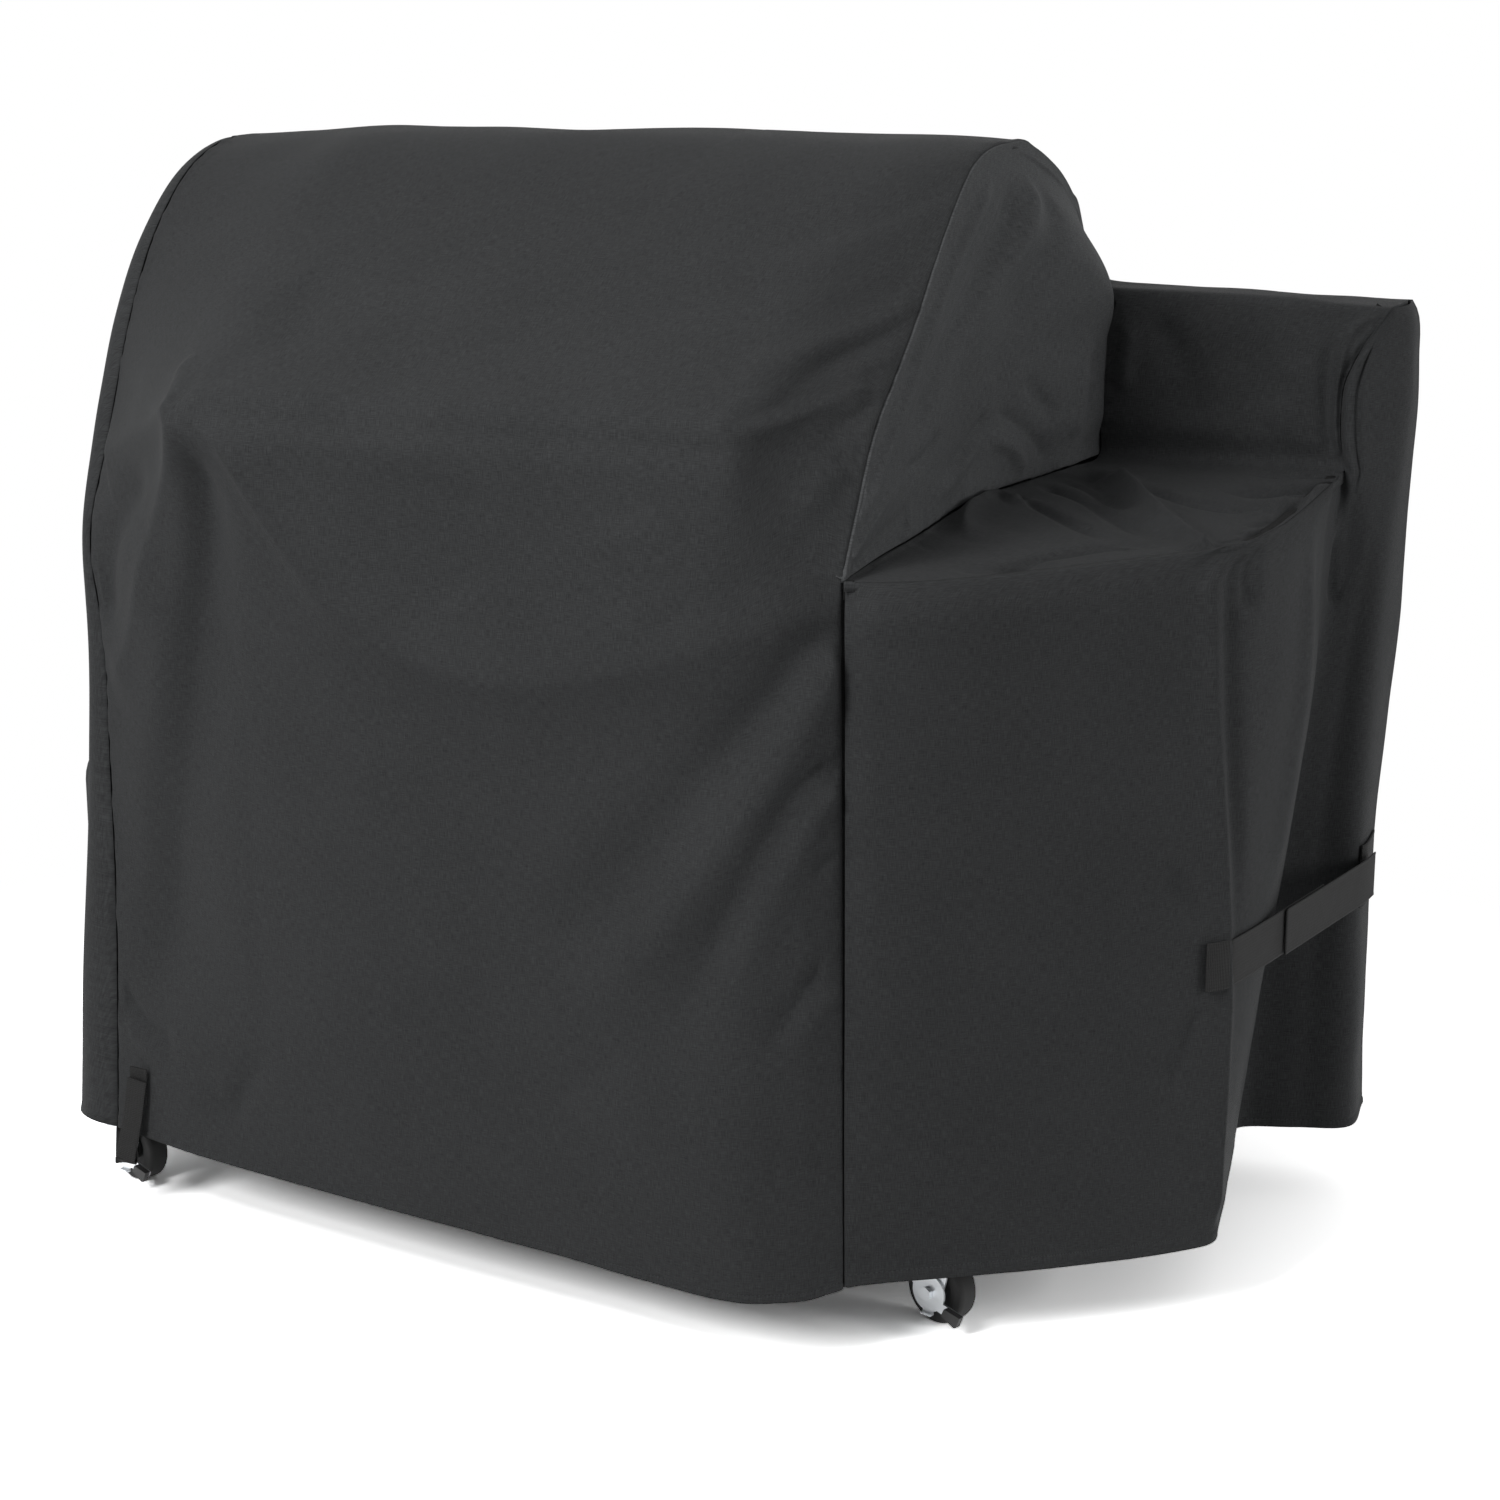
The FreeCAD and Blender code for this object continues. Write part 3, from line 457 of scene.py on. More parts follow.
# %% The front's folds
FRONT_FOLDS = [
    # the handle under the cloth: a narrow crest and the hollow below it
    dict(line=[(-.383, .957), (-.250, .960), (-.050, .962), (.120, .961), (.238, .958)],
         width=.0085, height=.0060, fade=(.04, .02), sharp=.3),
    dict(line=[(-.376, .936), (-.250, .939), (-.050, .941), (.120, .940), (.238, .937)],
         width=.015, height=-.0045, fade=(.03, .03)),
    # the left end of the handle: a crest running down to the left seam
    dict(line=[(-.385, .952), (-.389, .922), (-.413, .878), (-.453, .822), (-.487, .762),
               (-.519, .695), (-.557, .641), (-.598, .608)], width=(.014, .034), height=.009,
         fade=(.06, .12), sharp=.2),
    # the band from the handle's end out to the left seam, and the hollow under it
    dict(line=[(-.389, .946), (-.450, .917), (-.520, .890), (-.600, .858)], width=(.012, .026),
         height=.009, fade=(.05, .05), sharp=.4),
    dict(line=[(-.470, .868), (-.530, .826), (-.575, .775), (-.592, .715), (-.585, .660)],
         width=(.020, .026), height=-.010, fade=(.25, .2)),
    # the long valley on the crest's right, which widens down to the hem
    dict(line=[(-.372, .930), (-.378, .851), (-.395, .784), (-.418, .715), (-.448, .620),
               (-.480, .511), (-.500, .416), (-.522, .317), (-.535, .220)],
         width=(.018, .064), height=-.021, lean=.40, fade=(.10, .2)),
    # the swag between the handle's left end and the shelf's corner
    dict(line=[(-.374, .952), (-.337, .923), (-.304, .887), (-.255, .814), (-.208, .756),
               (-.152, .720), (-.083, .703), (-.026, .698), (.048, .708), (.140, .733),
               (.229, .767), (.292, .797), (.321, .812)], width=(.016, .090), height=.020,
         lean=.40, fade=(.12, .08), sharp=.20),
    # folds running down and left from the shelf's corner
    dict(line=[(.317, .786), (.288, .748), (.265, .712), (.228, .660), (.182, .604),
               (.134, .545), (.073, .484), (.015, .425), (-.045, .369)], width=(.016, .052),
         height=-.010, fade=(.06, .3)),
    dict(line=[(.322, .756), (.304, .708), (.284, .665), (.263, .620), (.224, .559),
               (.168, .490), (.097, .407), (.036, .338)], width=(.012, .040), height=.009,
         fade=(.04, .35)),
    dict(line=[(.323, .636), (.308, .639), (.294, .632), (.279, .612), (.265, .588),
               (.243, .543), (.222, .495), (.185, .416), (.142, .341), (.097, .307)],
         width=(.0055, .034), height=-.0075, lean=.3, fade=(.02, .4), sharp=.5),
    dict(line=[(.322, .618), (.306, .600), (.288, .560), (.266, .510), (.236, .440),
               (.196, .370)], width=(.007, .026), height=.006, fade=(.05, .45)),
    # short pointed gathers of the right seam
    dict(line=[(.324, .436), (.310, .437), (.298, .424), (.281, .394), (.262, .362),
               (.240, .325)], width=(.004, .015), height=-.007, fade=(.03, .5), sharp=.5),
    dict(line=[(.322, .412), (.305, .396), (.287, .366), (.270, .335)], width=(.006, .012),
         height=.003, fade=(.1, .5)),
    dict(line=[(.322, .241), (.305, .232), (.290, .219), (.276, .212)], width=(.003, .008),
         height=-.0035, fade=(.03, .5), sharp=.5),
    dict(line=[(.324, .545), (.312, .548), (.302, .536), (.296, .515)], width=.005,
         height=-.0025, fade=(.05, .5)),
    dict(line=[(.322, .318), (.310, .322), (.300, .312)], width=.004, height=-.0022,
         fade=(.05, .5)),
    dict(line=[(.000, .245), (.030, .270), (.068, .302), (.119, .324)], width=.020,
         height=-.003),
    dict(line=[(-.180, .330), (-.110, .300), (-.040, .300)], width=.030, height=-.003),
    # low on the left
    dict(line=[(-.598, .252), (-.578, .240), (-.555, .226), (-.528, .217), (-.501, .216)],
         width=(.007, .009), height=-.008, fade=(.05, .25), sharp=.5),
    dict(line=[(-.590, .228), (-.555, .206), (-.515, .196)], width=(.010, .012), height=.004),
    dict(line=[(-.470, .185), (-.448, .162), (-.425, .154), (-.408, .172), (-.395, .195),
               (-.350, .245)], width=(.010, .020), height=-.0055, fade=(.3, .35)),
    # the right end of the handle
    dict(line=[(.205, .959), (.241, .957), (.264, .962), (.287, .973), (.302, .981),
               (.316, .986)], width=(.007, .010), height=.006, fade=(.15, .1), sharp=.3),
    dict(line=[(.225, .968), (.243, .971), (.262, .981), (.280, .992)], width=(.007, .010),
         height=-.004, fade=(.2, .4)),
    dict(line=[(.305, .968), (.300, .948), (.292, .925)], width=(.012, .016), height=-.0045,
         fade=(.2, .5)),
    dict(line=[(.314, .920), (.300, .908), (.288, .885), (.283, .850)], width=(.010, .016),
         height=.0045, fade=(.1, .5)),
    dict(line=[(.323, .975), (.314, .965), (.316, .950)], width=.005, height=-.004,
         fade=(.1, .4), sharp=.5),
    dict(line=[(.324, .935), (.314, .930), (.308, .915)], width=.005, height=-.003,
         fade=(.1, .4), sharp=.5),
    # above the handle, drag lines from the right seam
    dict(line=[(.326, 1.170), (.318, 1.160), (.263, 1.135), (.204, 1.120), (.141, 1.104)],
         width=(.008, .022), height=-.004, fade=(.06, .5)),
    dict(line=[(.322, 1.140), (.285, 1.120), (.230, 1.098), (.150, 1.075)], width=(.010, .026),
         height=.0035, fade=(.1, .5)),
    dict(line=[(.324, 1.082), (.290, 1.066), (.235, 1.040), (.160, 1.016)], width=(.010, .024),
         height=-.0035, fade=(.08, .5)),
    dict(line=[(.325, 1.058), (.304, 1.040), (.272, 1.025), (.244, 1.011), (.190, .992)],
         width=(.006, .020), height=.0050, fade=(.05, .5)),
    dict(line=[(.324, 1.040), (.298, 1.025), (.268, 1.000), (.240, .985)], width=(.006, .014),
         height=-.0050, fade=(.05, .5)),
    dict(line=[(.323, 1.012), (.305, 1.004), (.285, .993)], width=(.005, .009), height=.0030,
         fade=(.05, .5)),
    # broad, faint unevenness where the cloth was packed flat
    dict(line=[(-.330, 1.070), (-.300, 1.035), (-.285, .995)], width=.030, height=-.004),
    dict(line=[(-.420, .985), (-.400, .965), (-.385, .955)], width=.012, height=.004),
    dict(line=[(-.050, .900), (-.060, .840), (-.030, .780)], width=.060, height=-.005),
    dict(line=[(.120, .880), (.140, .820), (.170, .770)], width=.050, height=.004),
]
BACK_FOLDS = [
    dict(line=[(-.45, 1.00), (-.42, .70), (-.43, .40), (-.44, .15)], width=(.03, .06), height=.010),
    dict(line=[(-.10, .98), (-.12, .65), (-.08, .30), (-.08, .12)], width=(.04, .07), height=-.012),
    dict(line=[(.15, .95), (.17, .60), (.14, .30), (.15, .12)], width=(.03, .06), height=.012),
]


def bumps(folds, a, b):
    return sum(fold(a, b, **f) for f in folds)


def on_tape(height, from_seam, least=-.0012):
    """Folds no deeper than the binding tape allows, near a seam."""
    return np.maximum(height, least - .04 * ease(.013, .034, from_seam))


SEAM_LENGTH, PANEL_WIDTH = 2.72, 0.93      # of the panel, for the gathers along its seams
FRONT_FOLDS_END = (0.56, 0.50)             # rows between which the front's folds die out
BACK_FOLDS_FROM = 0.62
columns = graded(146, 2.2, 2.2, [(0, .31, 1.9), (.70, 1, 1.8)])
front_rows = hem_rows(FRONT_LENGTH, 262, [(.15, .55, 2.2), (.26, .53, 1.35)])
front_rows = front_rows / FRONT_LENGTH * FRONT_SHARE
back_rows = 1 - hem_rows(BACK_LENGTH, 24)[::-1] / BACK_LENGTH * BACK_SHARE
rows = np.concatenate([front_rows, back_rows[1:]])
place = main_places(columns, rows)
normal = normals_of(place)
grid_u, grid_v = np.meshgrid(columns, rows)
in_front = ease(*FRONT_FOLDS_END, grid_v)
height = bumps(FRONT_FOLDS, place[..., 0], place[..., 2]) * in_front
behind = grid_v > BACK_FOLDS_FROM
height = height + bumps(BACK_FOLDS, place[..., 0], place[..., 2]) * behind
height = height + crumple(place, 0.22, 0.0050, 3.7) + crumple(place, 0.10, 0.0022, 8.1)
height = height * ease(0, 0.010, grid_u) * ease(0, 0.010, 1 - grid_u)
seam_run = grid_v * SEAM_LENGTH
for distance, seed in ((grid_u * PANEL_WIDTH, 1.5), ((1 - grid_u) * PANEL_WIDTH, 6.5)):
    height = on_tape(height + puckers(seam_run, distance, 0.016, 0.0030, 0.012, seed), distance)
place = place + normal * height[..., None]
from_hem = np.minimum(grid_v / FRONT_SHARE * FRONT_LENGTH,
                      (1 - grid_v) / BACK_SHARE * BACK_LENGTH)
place = place + normals_of(place) * hemmed(from_hem)[..., None]
main_seams = {"low": place[:, 0].copy(), "high": place[:, -1].copy()}
main_looks = normals_of(place)
bound("left_seam_binding", main_seams["low"][::2], main_looks[::2, 0])
turned, _ = turned_in(place, main_looks, ("low", "high"))
measure = measured(turned)
measure[..., 1] = np.minimum(measure[..., 1], measure[..., 1].max() - measure[..., 1])
main_panel = sheet_mesh("main_cloth", turned, measure)
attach(main_panel, "cover")
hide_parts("main_panel")
print("main panel:", turned.shape[:2])

# %% [markdown]
# ## The left end
# The left end is a flat panel whose edge is rounded back to the seam all the way round. A
# filled outline with a bevel would give that form, but no rows for the cloth's own measure to
# follow. Here each row joins the front of the seam to its back, straight across, and the
# distance to the seam says how far the round has come. Low down the cloth rests on the rail of
# the stand, so it is kept outside the rail and falls softly away round it.

# %% Hang the left end
END_ROUND = 0.055
END_DEPTH_TOP, END_FLARE, END_WAIST, CREST_Z = 0.036, 0.0380, 0.008, 1.203
RAIL_CLEAR, RAIL_SLACK = .005, .09            # outside the rail, and how far it lets go of it
ABOVE_RAIL, BESIDE_RAIL = (.16, .01), (.10, .03)


def crossing_rows(seam, count):
    """Pairs of front and back shares of a seam line, from the hem up to the crest."""
    crest = seam.share[seam.dense[:, 1].argmax()]
    up = 1 - (1 - np.linspace(0, 1, count + 1)) ** 1.25
    return up * crest, 1 - up * (1 - crest)


def edge_distance(spots, line):
    """How far each (y, z) spot is from a line's nearest stretch."""
    near = np.full(len(spots), 9.0)
    for start, end in zip(line.dense[:-4:4], line.dense[4::4]):
        run = end - start
        t = np.clip((spots - start) @ run / (run @ run), 0, 1)
        near = np.minimum(near, np.hypot(*(spots - start - t[:, None] * run).T))
    return near


def end_depth(z):
    """How far the left end stands out at a height: least at half height, wider at the hem."""
    return END_DEPTH_TOP + END_FLARE * (CREST_Z - z) - END_WAIST * bell((z - .60) / .17)


def left_end_places(rows, turns, flats):
    """Rows from the hem to the crest; turns columns round each edge, flats between them."""
    line = Line(main_seams["low"][::3, 1:])
    front, back = crossing_rows(line, rows)
    a, b = line.at(front), line.at(back)
    width = np.linalg.norm(b - a, axis=1)[:, None]
    round_share = np.minimum(END_ROUND / np.maximum(width, 1e-9), .42)
    turn = round_share * (1 - np.cos(np.linspace(0, math.pi / 2, turns + 1)))[None]
    flat = round_share + (1 - 2 * round_share) * np.linspace(0, 1, flats + 1)[None]
    t = np.concatenate([turn[:, :-1], flat, 1 - turn[:, -2::-1]], axis=1)
    yz = a[:, None] + (b - a)[:, None] * t[..., None]
    distance = edge_distance(yz.reshape(-1, 2), line).reshape(t.shape)
    distance[:, (0, -1)] = 0
    rounded = np.sqrt(1 - (1 - np.clip(distance / END_ROUND, 0, 1)) ** 2)
    z = yz[..., 1]
    start = np.where(t < .5, left_x(z), LEFT_X)
    x = start + (LEFT_X - end_depth(z) - start) * rounded
    return np.concatenate([x[..., None], yz], axis=2), distance


END_FOLDS = [
    dict(line=[(-.15, .90), (-.12, .70), (-.13, .50), (-.16, .30)], width=(.02, .05), height=-.008),
    dict(line=[(.05, 1.02), (.08, .75), (.06, .45), (.09, .15)], width=(.03, .07), height=.009),
    dict(line=[(.25, .95), (.22, .70), (.24, .40), (.20, .12)], width=(.03, .05), height=-.009),
]
place, from_seam = left_end_places(150, 14, 56)
normal = facing(place, 0, -1)
height = bumps(END_FOLDS, place[..., 1], place[..., 2]) * ease(.02, .08, from_seam)
height = height + crumple(place, 0.2, 0.0040, 12.3) * ease(0, .03, from_seam)
height = height + hemmed(place[..., 2] - HEM_Z)
place = place + normal * (height * ease(0, .004, from_seam))[..., None]
rail_low, rail_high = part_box("left_rail")
far, close = ABOVE_RAIL
beside = ease(rail_high.z + far, rail_high.z + close, place[..., 2])
far, close = BESIDE_RAIL
beside = beside * ease(rail_low.y - far, rail_low.y - close, place[..., 1])
beside = beside * ease(rail_high.y + far, rail_high.y + close, place[..., 1])
on_rail = rail_low.x - RAIL_CLEAR + RAIL_SLACK * (1 - beside)
place[..., 0] = np.minimum(place[..., 0], on_rail)
measure = np.stack([place[..., 1], place[..., 2] - HEM_Z], axis=-1)
left_end = sheet_mesh("left_end_cloth", place, measure, flip=True)
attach(left_end, "cover")
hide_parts("left_end_panel")
print("left end:", place.shape[:2])

# %% [markdown]
# ## The lid's right end
# Above the shelf the right end is one panel between the leaning seam and the shelf. Towards
# the back it is pushed out by the fuel hopper beside it, so its base bows outwards and rises.
# A plane cut to the arch would miss that bow, so the rows run from a base line up to the seam
# that the main panel already has. Only a fine gap is left there, and the binding fills it.

# %% Hang the lid's end
BASE = [(.333, -.362, .818), (.335, -.270, .826), (.336, -.180, .830), (.336, -.050, .8385),
        (.338, .062, .840), (.352, .150, .842), (.367, .220, .845), (.377, .294, .848),
        (.374, .340, .848), (.362, .409, .846)]
INNER_SEAM = [(.377, .294, .848), (.3765, .294, .890), (.377, .294, .935), (.379, .294, .972),
              (.387, .294, 1.004), (.397, .298, 1.030)]
SHIFT = np.array([MIDDLE_X, 0, 0])
base_line = Line(np.array(BASE) - SHIFT)
LID_GAP = .0016                # left open along the seam, over the binding
LID_LIFT = .0011               # least height beside the seam, over the main panel's edge
HOPPER_PUSH, TOP_PUSH = .047, .012      # outwards beside the hopper, and more at its top
ARCH_LENGTH = 1.25             # metres of seam round the arch, for its gathers


def lid_end_places(rows, columns):
    """Rows from the base up to the seam, columns from the shelf's corner to the back."""
    seam = main_seams["high"]
    first = np.argmax(seam[:, 2] > base_line.at(0)[2])
    crest = seam[:, 2].argmax()
    last = crest + np.argmax(seam[crest:, 2] < base_line.at(1)[2])
    arch = Line(seam[first:last + 1:4])
    t = graded(columns, 2.2, 1)
    rise = graded(rows, 1, 3)
    low, high = base_line.at(t), arch.at(t)
    high = high + (low - high) / np.linalg.norm(low - high, axis=1, keepdims=True) * LID_GAP
    place = low[None] + (high - low)[None] * rise[:, None, None]
    y, z = place[..., 1], place[..., 2]
    gap = (1 - rise)[:, None] * np.linalg.norm(high - low, axis=1)[None]
    pushed = ease(-.02, .29, y) * ease(0, .11, gap)
    flat_x = right_x(z)
    bowed = flat_x + HOPPER_PUSH * pushed + TOP_PUSH * pushed * ease(.975, 1.035, z)
    upward = ease(0, .06, rise[:, None] * np.linalg.norm(high - low, axis=1)[None])
    place[..., 0] = place[..., 0] * (1 - upward) + bowed * upward
    return place, gap


LID_FOLDS = [
    # beside the seam, a roll that catches the light and the dark streak behind it
    dict(line=[(.020, 1.168), (-.065, 1.104), (-.147, 1.034), (-.218, .962), (-.288, .904),
               (-.337, .856)], width=(.011, .010), height=.0075, fade=(.1, .1)),
    dict(line=[(.085, 1.161), (.039, 1.110), (-.005, 1.074), (-.068, 1.021), (-.123, .984),
               (-.177, .938), (-.236, .893)], width=(.016, .014), height=-.008, fade=(.1, .3)),
    # from the top, a ridge running down and forward
    dict(line=[(.130, 1.159), (.086, 1.102), (.027, 1.052), (-.016, 1.006), (-.043, .965)],
         width=(.016, .026), height=.008, fade=(.1, .4)),
    dict(line=[(.175, 1.140), (.130, 1.085), (.075, 1.030), (.035, .990)], width=(.018, .026),
         height=-.0065, fade=(.1, .4)),
    # soft dents towards the hopper
    dict(line=[(.100, .958), (.133, .930), (.176, .904)], width=.012, height=-.005),
    dict(line=[(.236, .962), (.224, .918), (.211, .872)], width=.012, height=.005),
    dict(line=[(.265, .985), (.258, .930), (.250, .875)], width=.012, height=-.004),
    dict(line=[(.314, .972), (.350, .941)], width=.010, height=-.004),
    # sharper gathers low at the front
    dict(line=[(-.150, 1.030), (-.166, 1.012), (-.182, .988)], width=.005, height=-.003),
    dict(line=[(-.100, .926), (-.141, .906), (-.185, .897), (-.214, .878)], width=(.005, .009),
         height=-.006, fade=(.25, .35), sharp=.5),
    dict(line=[(.032, .928), (-.004, .908), (-.052, .887), (-.105, .878)], width=(.005, .010),
         height=-.006, fade=(.15, .4), sharp=.5),
    dict(line=[(.020, .906), (-.030, .884), (-.090, .866), (-.150, .860)], width=(.008, .012),
         height=.005, fade=(.2, .4)),
    dict(line=[(.040, .925), (.075, .916), (.112, .897), (.158, .869), (.190, .842)],
         width=(.006, .010), height=-.006, fade=(.2, .25), sharp=.5),
    dict(line=[(.030, .896), (.058, .892), (.088, .880), (.128, .851)], width=(.008, .010),
         height=.006, fade=(.2, .2)),
    dict(line=[(-.352, .834), (-.285, .868), (-.196, .902)], width=(.005, .012), height=.005,
         fade=(.05, .4), sharp=.4),
    dict(line=[(-.340, .826), (-.241, .851), (-.153, .862)], width=(.005, .012), height=-.004,
         fade=(.05, .4), sharp=.4),
    dict(line=[(-.186, .872), (-.200, .842), (-.216, .822)], width=(.005, .007), height=.004,
         fade=(.4, .1)),
]
place, from_seam = lid_end_places(140, 240)
normal = facing(place, 0)
height = bumps(LID_FOLDS, place[..., 1], place[..., 2])
height = height + crumple(place, 0.12, 0.0030, 21.7) + crumple(place, 0.045, 0.0010, 25.1)
seam_share = np.broadcast_to(np.linspace(0, ARCH_LENGTH, place.shape[1]), place.shape[:2])
base_gap = np.abs(place[..., 2] - place[:1, :, 2])
height = height * ease(0, .006, from_seam) * ease(0, .006, base_gap)
height = height + puckers(seam_share, from_seam, 0.015, 0.0035, 0.012, 31.5)
height = on_tape(height, from_seam, LID_LIFT)
height = height + puckers(seam_share, base_gap, 0.018, 0.0030, 0.010, 36.5)
place = place + normal * height[..., None]
place, _ = turned_in(place, facing(place, 0), ("first", "last"))
lid_end = sheet_mesh("lid_end_cloth", place, place[..., 1:].copy())
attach(lid_end, "cover")
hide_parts("lid_end_panel")
print("lid end:", place.shape[:2])

# %% [markdown]
# ## The side
# One length of cloth goes round from the front seam: the shelf's front, its right side and the
# hopper's side. Such a run could be a curve that is swept upwards, but every height here has a
# form of its own, so a net of points, five heights by fourteen places round, gives its skirt.
# The cloth stands away from the shelf's corner, falls into a deep valley behind it, and comes
# out again round the back corner. Above the skirt it rolls over the shelf's rim to the seam,
# and behind the hopper's front edge it goes on up as the hopper's cheek, by a second small net.

# %% The side's nets
SKIRT_NET = [
    (.090, [(.318, -.306), (.364, -.271), (.449, -.208), (.534, -.141), (.604, -.083),
            (.630, -.050), (.625, -.010), (.612, .060), (.598, .130), (.584, .205),
            (.571, .272), (.630, .300), (.687, .328), (.685, .409)]),
    (.250, [(.321, -.319), (.364, -.300), (.440, -.243), (.526, -.157), (.598, -.075),
            (.629, -.042), (.633, .000), (.627, .060), (.616, .130), (.604, .200),
            (.580, .268), (.634, .300), (.683, .326), (.678, .409)]),
    (.430, [(.325, -.332), (.366, -.324), (.437, -.273), (.521, -.178), (.592, -.082),
            (.627, -.038), (.643, .020), (.645, .090), (.638, .150), (.626, .205),
            (.603, .262), (.641, .298), (.684, .322), (.682, .409)]),
    (.620, [(.329, -.346), (.368, -.343), (.436, -.297), (.518, -.197), (.588, -.096),
            (.628, -.042), (.648, .030), (.658, .110), (.656, .170), (.647, .222),
            (.635, .268), (.660, .296), (.690, .320), (.693, .409)]),
    (.780, [(.332, -.358), (.374, -.361), (.438, -.316), (.518, -.208), (.586, -.104),
            (.629, -.044), (.650, .035), (.660, .115), (.656, .180), (.649, .235),
            (.656, .280), (.682, .304), (.699, .335), (.700, .409)]),
]
CHEEK_NET = [
    (.848, [(.6525, .296), (.668, .290), (.688, .308), (.7045, .347), (.7035, .409)]),
    (.880, [(.6465, .299), (.662, .293), (.688, .309), (.7060, .349), (.7050, .409)]),
    (.912, [(.6450, .300), (.661, .294), (.688, .310), (.7070, .350), (.7055, .409)]),
    (.939, [(.6470, .300), (.662, .295), (.688, .310), (.7070, .350), (.7050, .409)]),
    (.964, [(.6565, .300), (.668, .296), (.690, .312), (.7070, .352), (.7040, .409)]),
    (.985, [(.6675, .302), (.676, .300), (.692, .315), (.7070, .354), (.7035, .409)]),
    (1.001, [(.6785, .304), (.684, .303), (.694, .318), (.7060, .356), (.7018, .409)]),
    (1.013, [(.6865, .305), (.690, .306), (.696, .320), (.7045, .358), (.6980, .409)]),
    (1.022, [(.6920, .307), (.693, .310), (.696, .322), (.7000, .360), (.6925, .409)]),
]
SHELF_SEAM = [(.333, -.362, .817), (.385, -.337, .817), (.432, -.290, .817), (.500, -.200, .817),
              (.580, -.090, .818), (.620, -.034, .819), (.640, .050, .823), (.647, .145, .831),
              (.651, .230, .840), (.6525, .296, .848)]
SEAM_AT_RING = (0, .093, .20, .385, .585, .68, .775, .87, .95, .99, 1)
HOPPER_EDGE = 9.55            # place round the rings of the hopper's front edge
CHEEK_CORNER = 10             # place round the rings of the cheek's second column
MEASURED_AT = .43             # the cloth is measured round at this height
RIM_TURNS = (14, 32, 52, 72, 90)              # degrees of the roll over the shelf's rim
SIDE_DROP_RUN = (0, .1, .3, .42, .5, .9)                # metres round from the seam, and how
SIDE_DROP = (-.004, -.006, -.006, -.004, -.002, 0)      # far above its level the hem is there
shelf_seam = Line(np.array(SHELF_SEAM) - SHIFT)


def over_net(net, heights, places):
    """A smooth surface over rings of (x, y) points at given heights."""
    z = np.array([h for h, _ in net])
    rings = np.array([ring for _, ring in net]) - SHIFT[:2]
    up = pulls(len(net), np.interp(heights, z, np.arange(len(net))))
    xy = np.einsum("ih,jc,hck->ijk", up, pulls(rings.shape[1], places), rings)
    tall = np.broadcast_to(np.asarray(heights)[:, None, None], (*xy.shape[:2], 1))
    return np.concatenate([xy, tall], axis=2)


def places_round(columns):
    """Places round the rings that are evenly spaced along the cloth, closer near the seam."""
    fine = np.linspace(0, len(SKIRT_NET[0][1]) - 1, 650)
    ring = over_net(SKIRT_NET, [MEASURED_AT], fine)[0]
    run = np.concatenate([[0], np.cumsum(np.linalg.norm(np.diff(ring, axis=0), axis=1))])
    share = graded(columns, 3, 1.3)
    q = np.interp(share * run[-1], run, fine)
    q[np.abs(q - HOPPER_EDGE).argmin()] = HOPPER_EDGE
    return q, share * run[-1]


around, run_round = places_round(226)
skirt_heights = HEM_Z + hem_rows(SKIRT_NET[-1][0] - HEM_Z, 124)
skirt = over_net(SKIRT_NET, skirt_heights, around)
on_hopper = around >= HOPPER_EDGE
past_edge = (around - HOPPER_EDGE) / (CHEEK_CORNER - HOPPER_EDGE)
cheek_place = np.where(around < CHEEK_CORNER, past_edge, around - CHEEK_CORNER + 1)
cheek_heights = np.linspace(CHEEK_NET[0][0], CHEEK_NET[-1][0], 36)
cheek = over_net(CHEEK_NET, cheek_heights, np.clip(cheek_place, 0, 4))
seam = shelf_seam.at(np.interp(around, range(len(SEAM_AT_RING)), SEAM_AT_RING))
rim = []
for turn in np.radians(RIM_TURNS):
    over, up = 1 - math.cos(turn), math.sin(turn)
    rolled = skirt[-1] + (seam - skirt[-1]) * [over, over, up]
    straight = skirt[-1] + (cheek[0] - skirt[-1]) * turn / (math.pi / 2)
    rim.append(np.where(on_hopper[:, None], straight, rolled))
side = np.concatenate([skirt, np.array(rim), cheek[1:]])
top_row = len(skirt) + len(rim)              # above it there is only the cheek
keep = np.ones(side.shape[:2], bool)
keep[top_row:, ~on_hopper] = False
side[..., 2] += np.interp(run_round, SIDE_DROP_RUN, SIDE_DROP) * ease(.30, HEM_Z, side[..., 2])
side[top_row:, ~on_hopper] = side[top_row - 1, ~on_hopper][None]
keep[top_row:top_row + 2, :np.argmax(on_hopper) - 1] = True
print("side:", side.shape[:2], "round", round(float(run_round[-1]), 3), "m")

# %% [markdown]
# The side's folds come down from the shelf's corner, and small ones are drawn towards the
# stitched end of the cinch strap. They could be a bump pattern in the finish, but the crease at
# the corner shows on the outline, so it is real. A place is (length round from the seam,
# height).

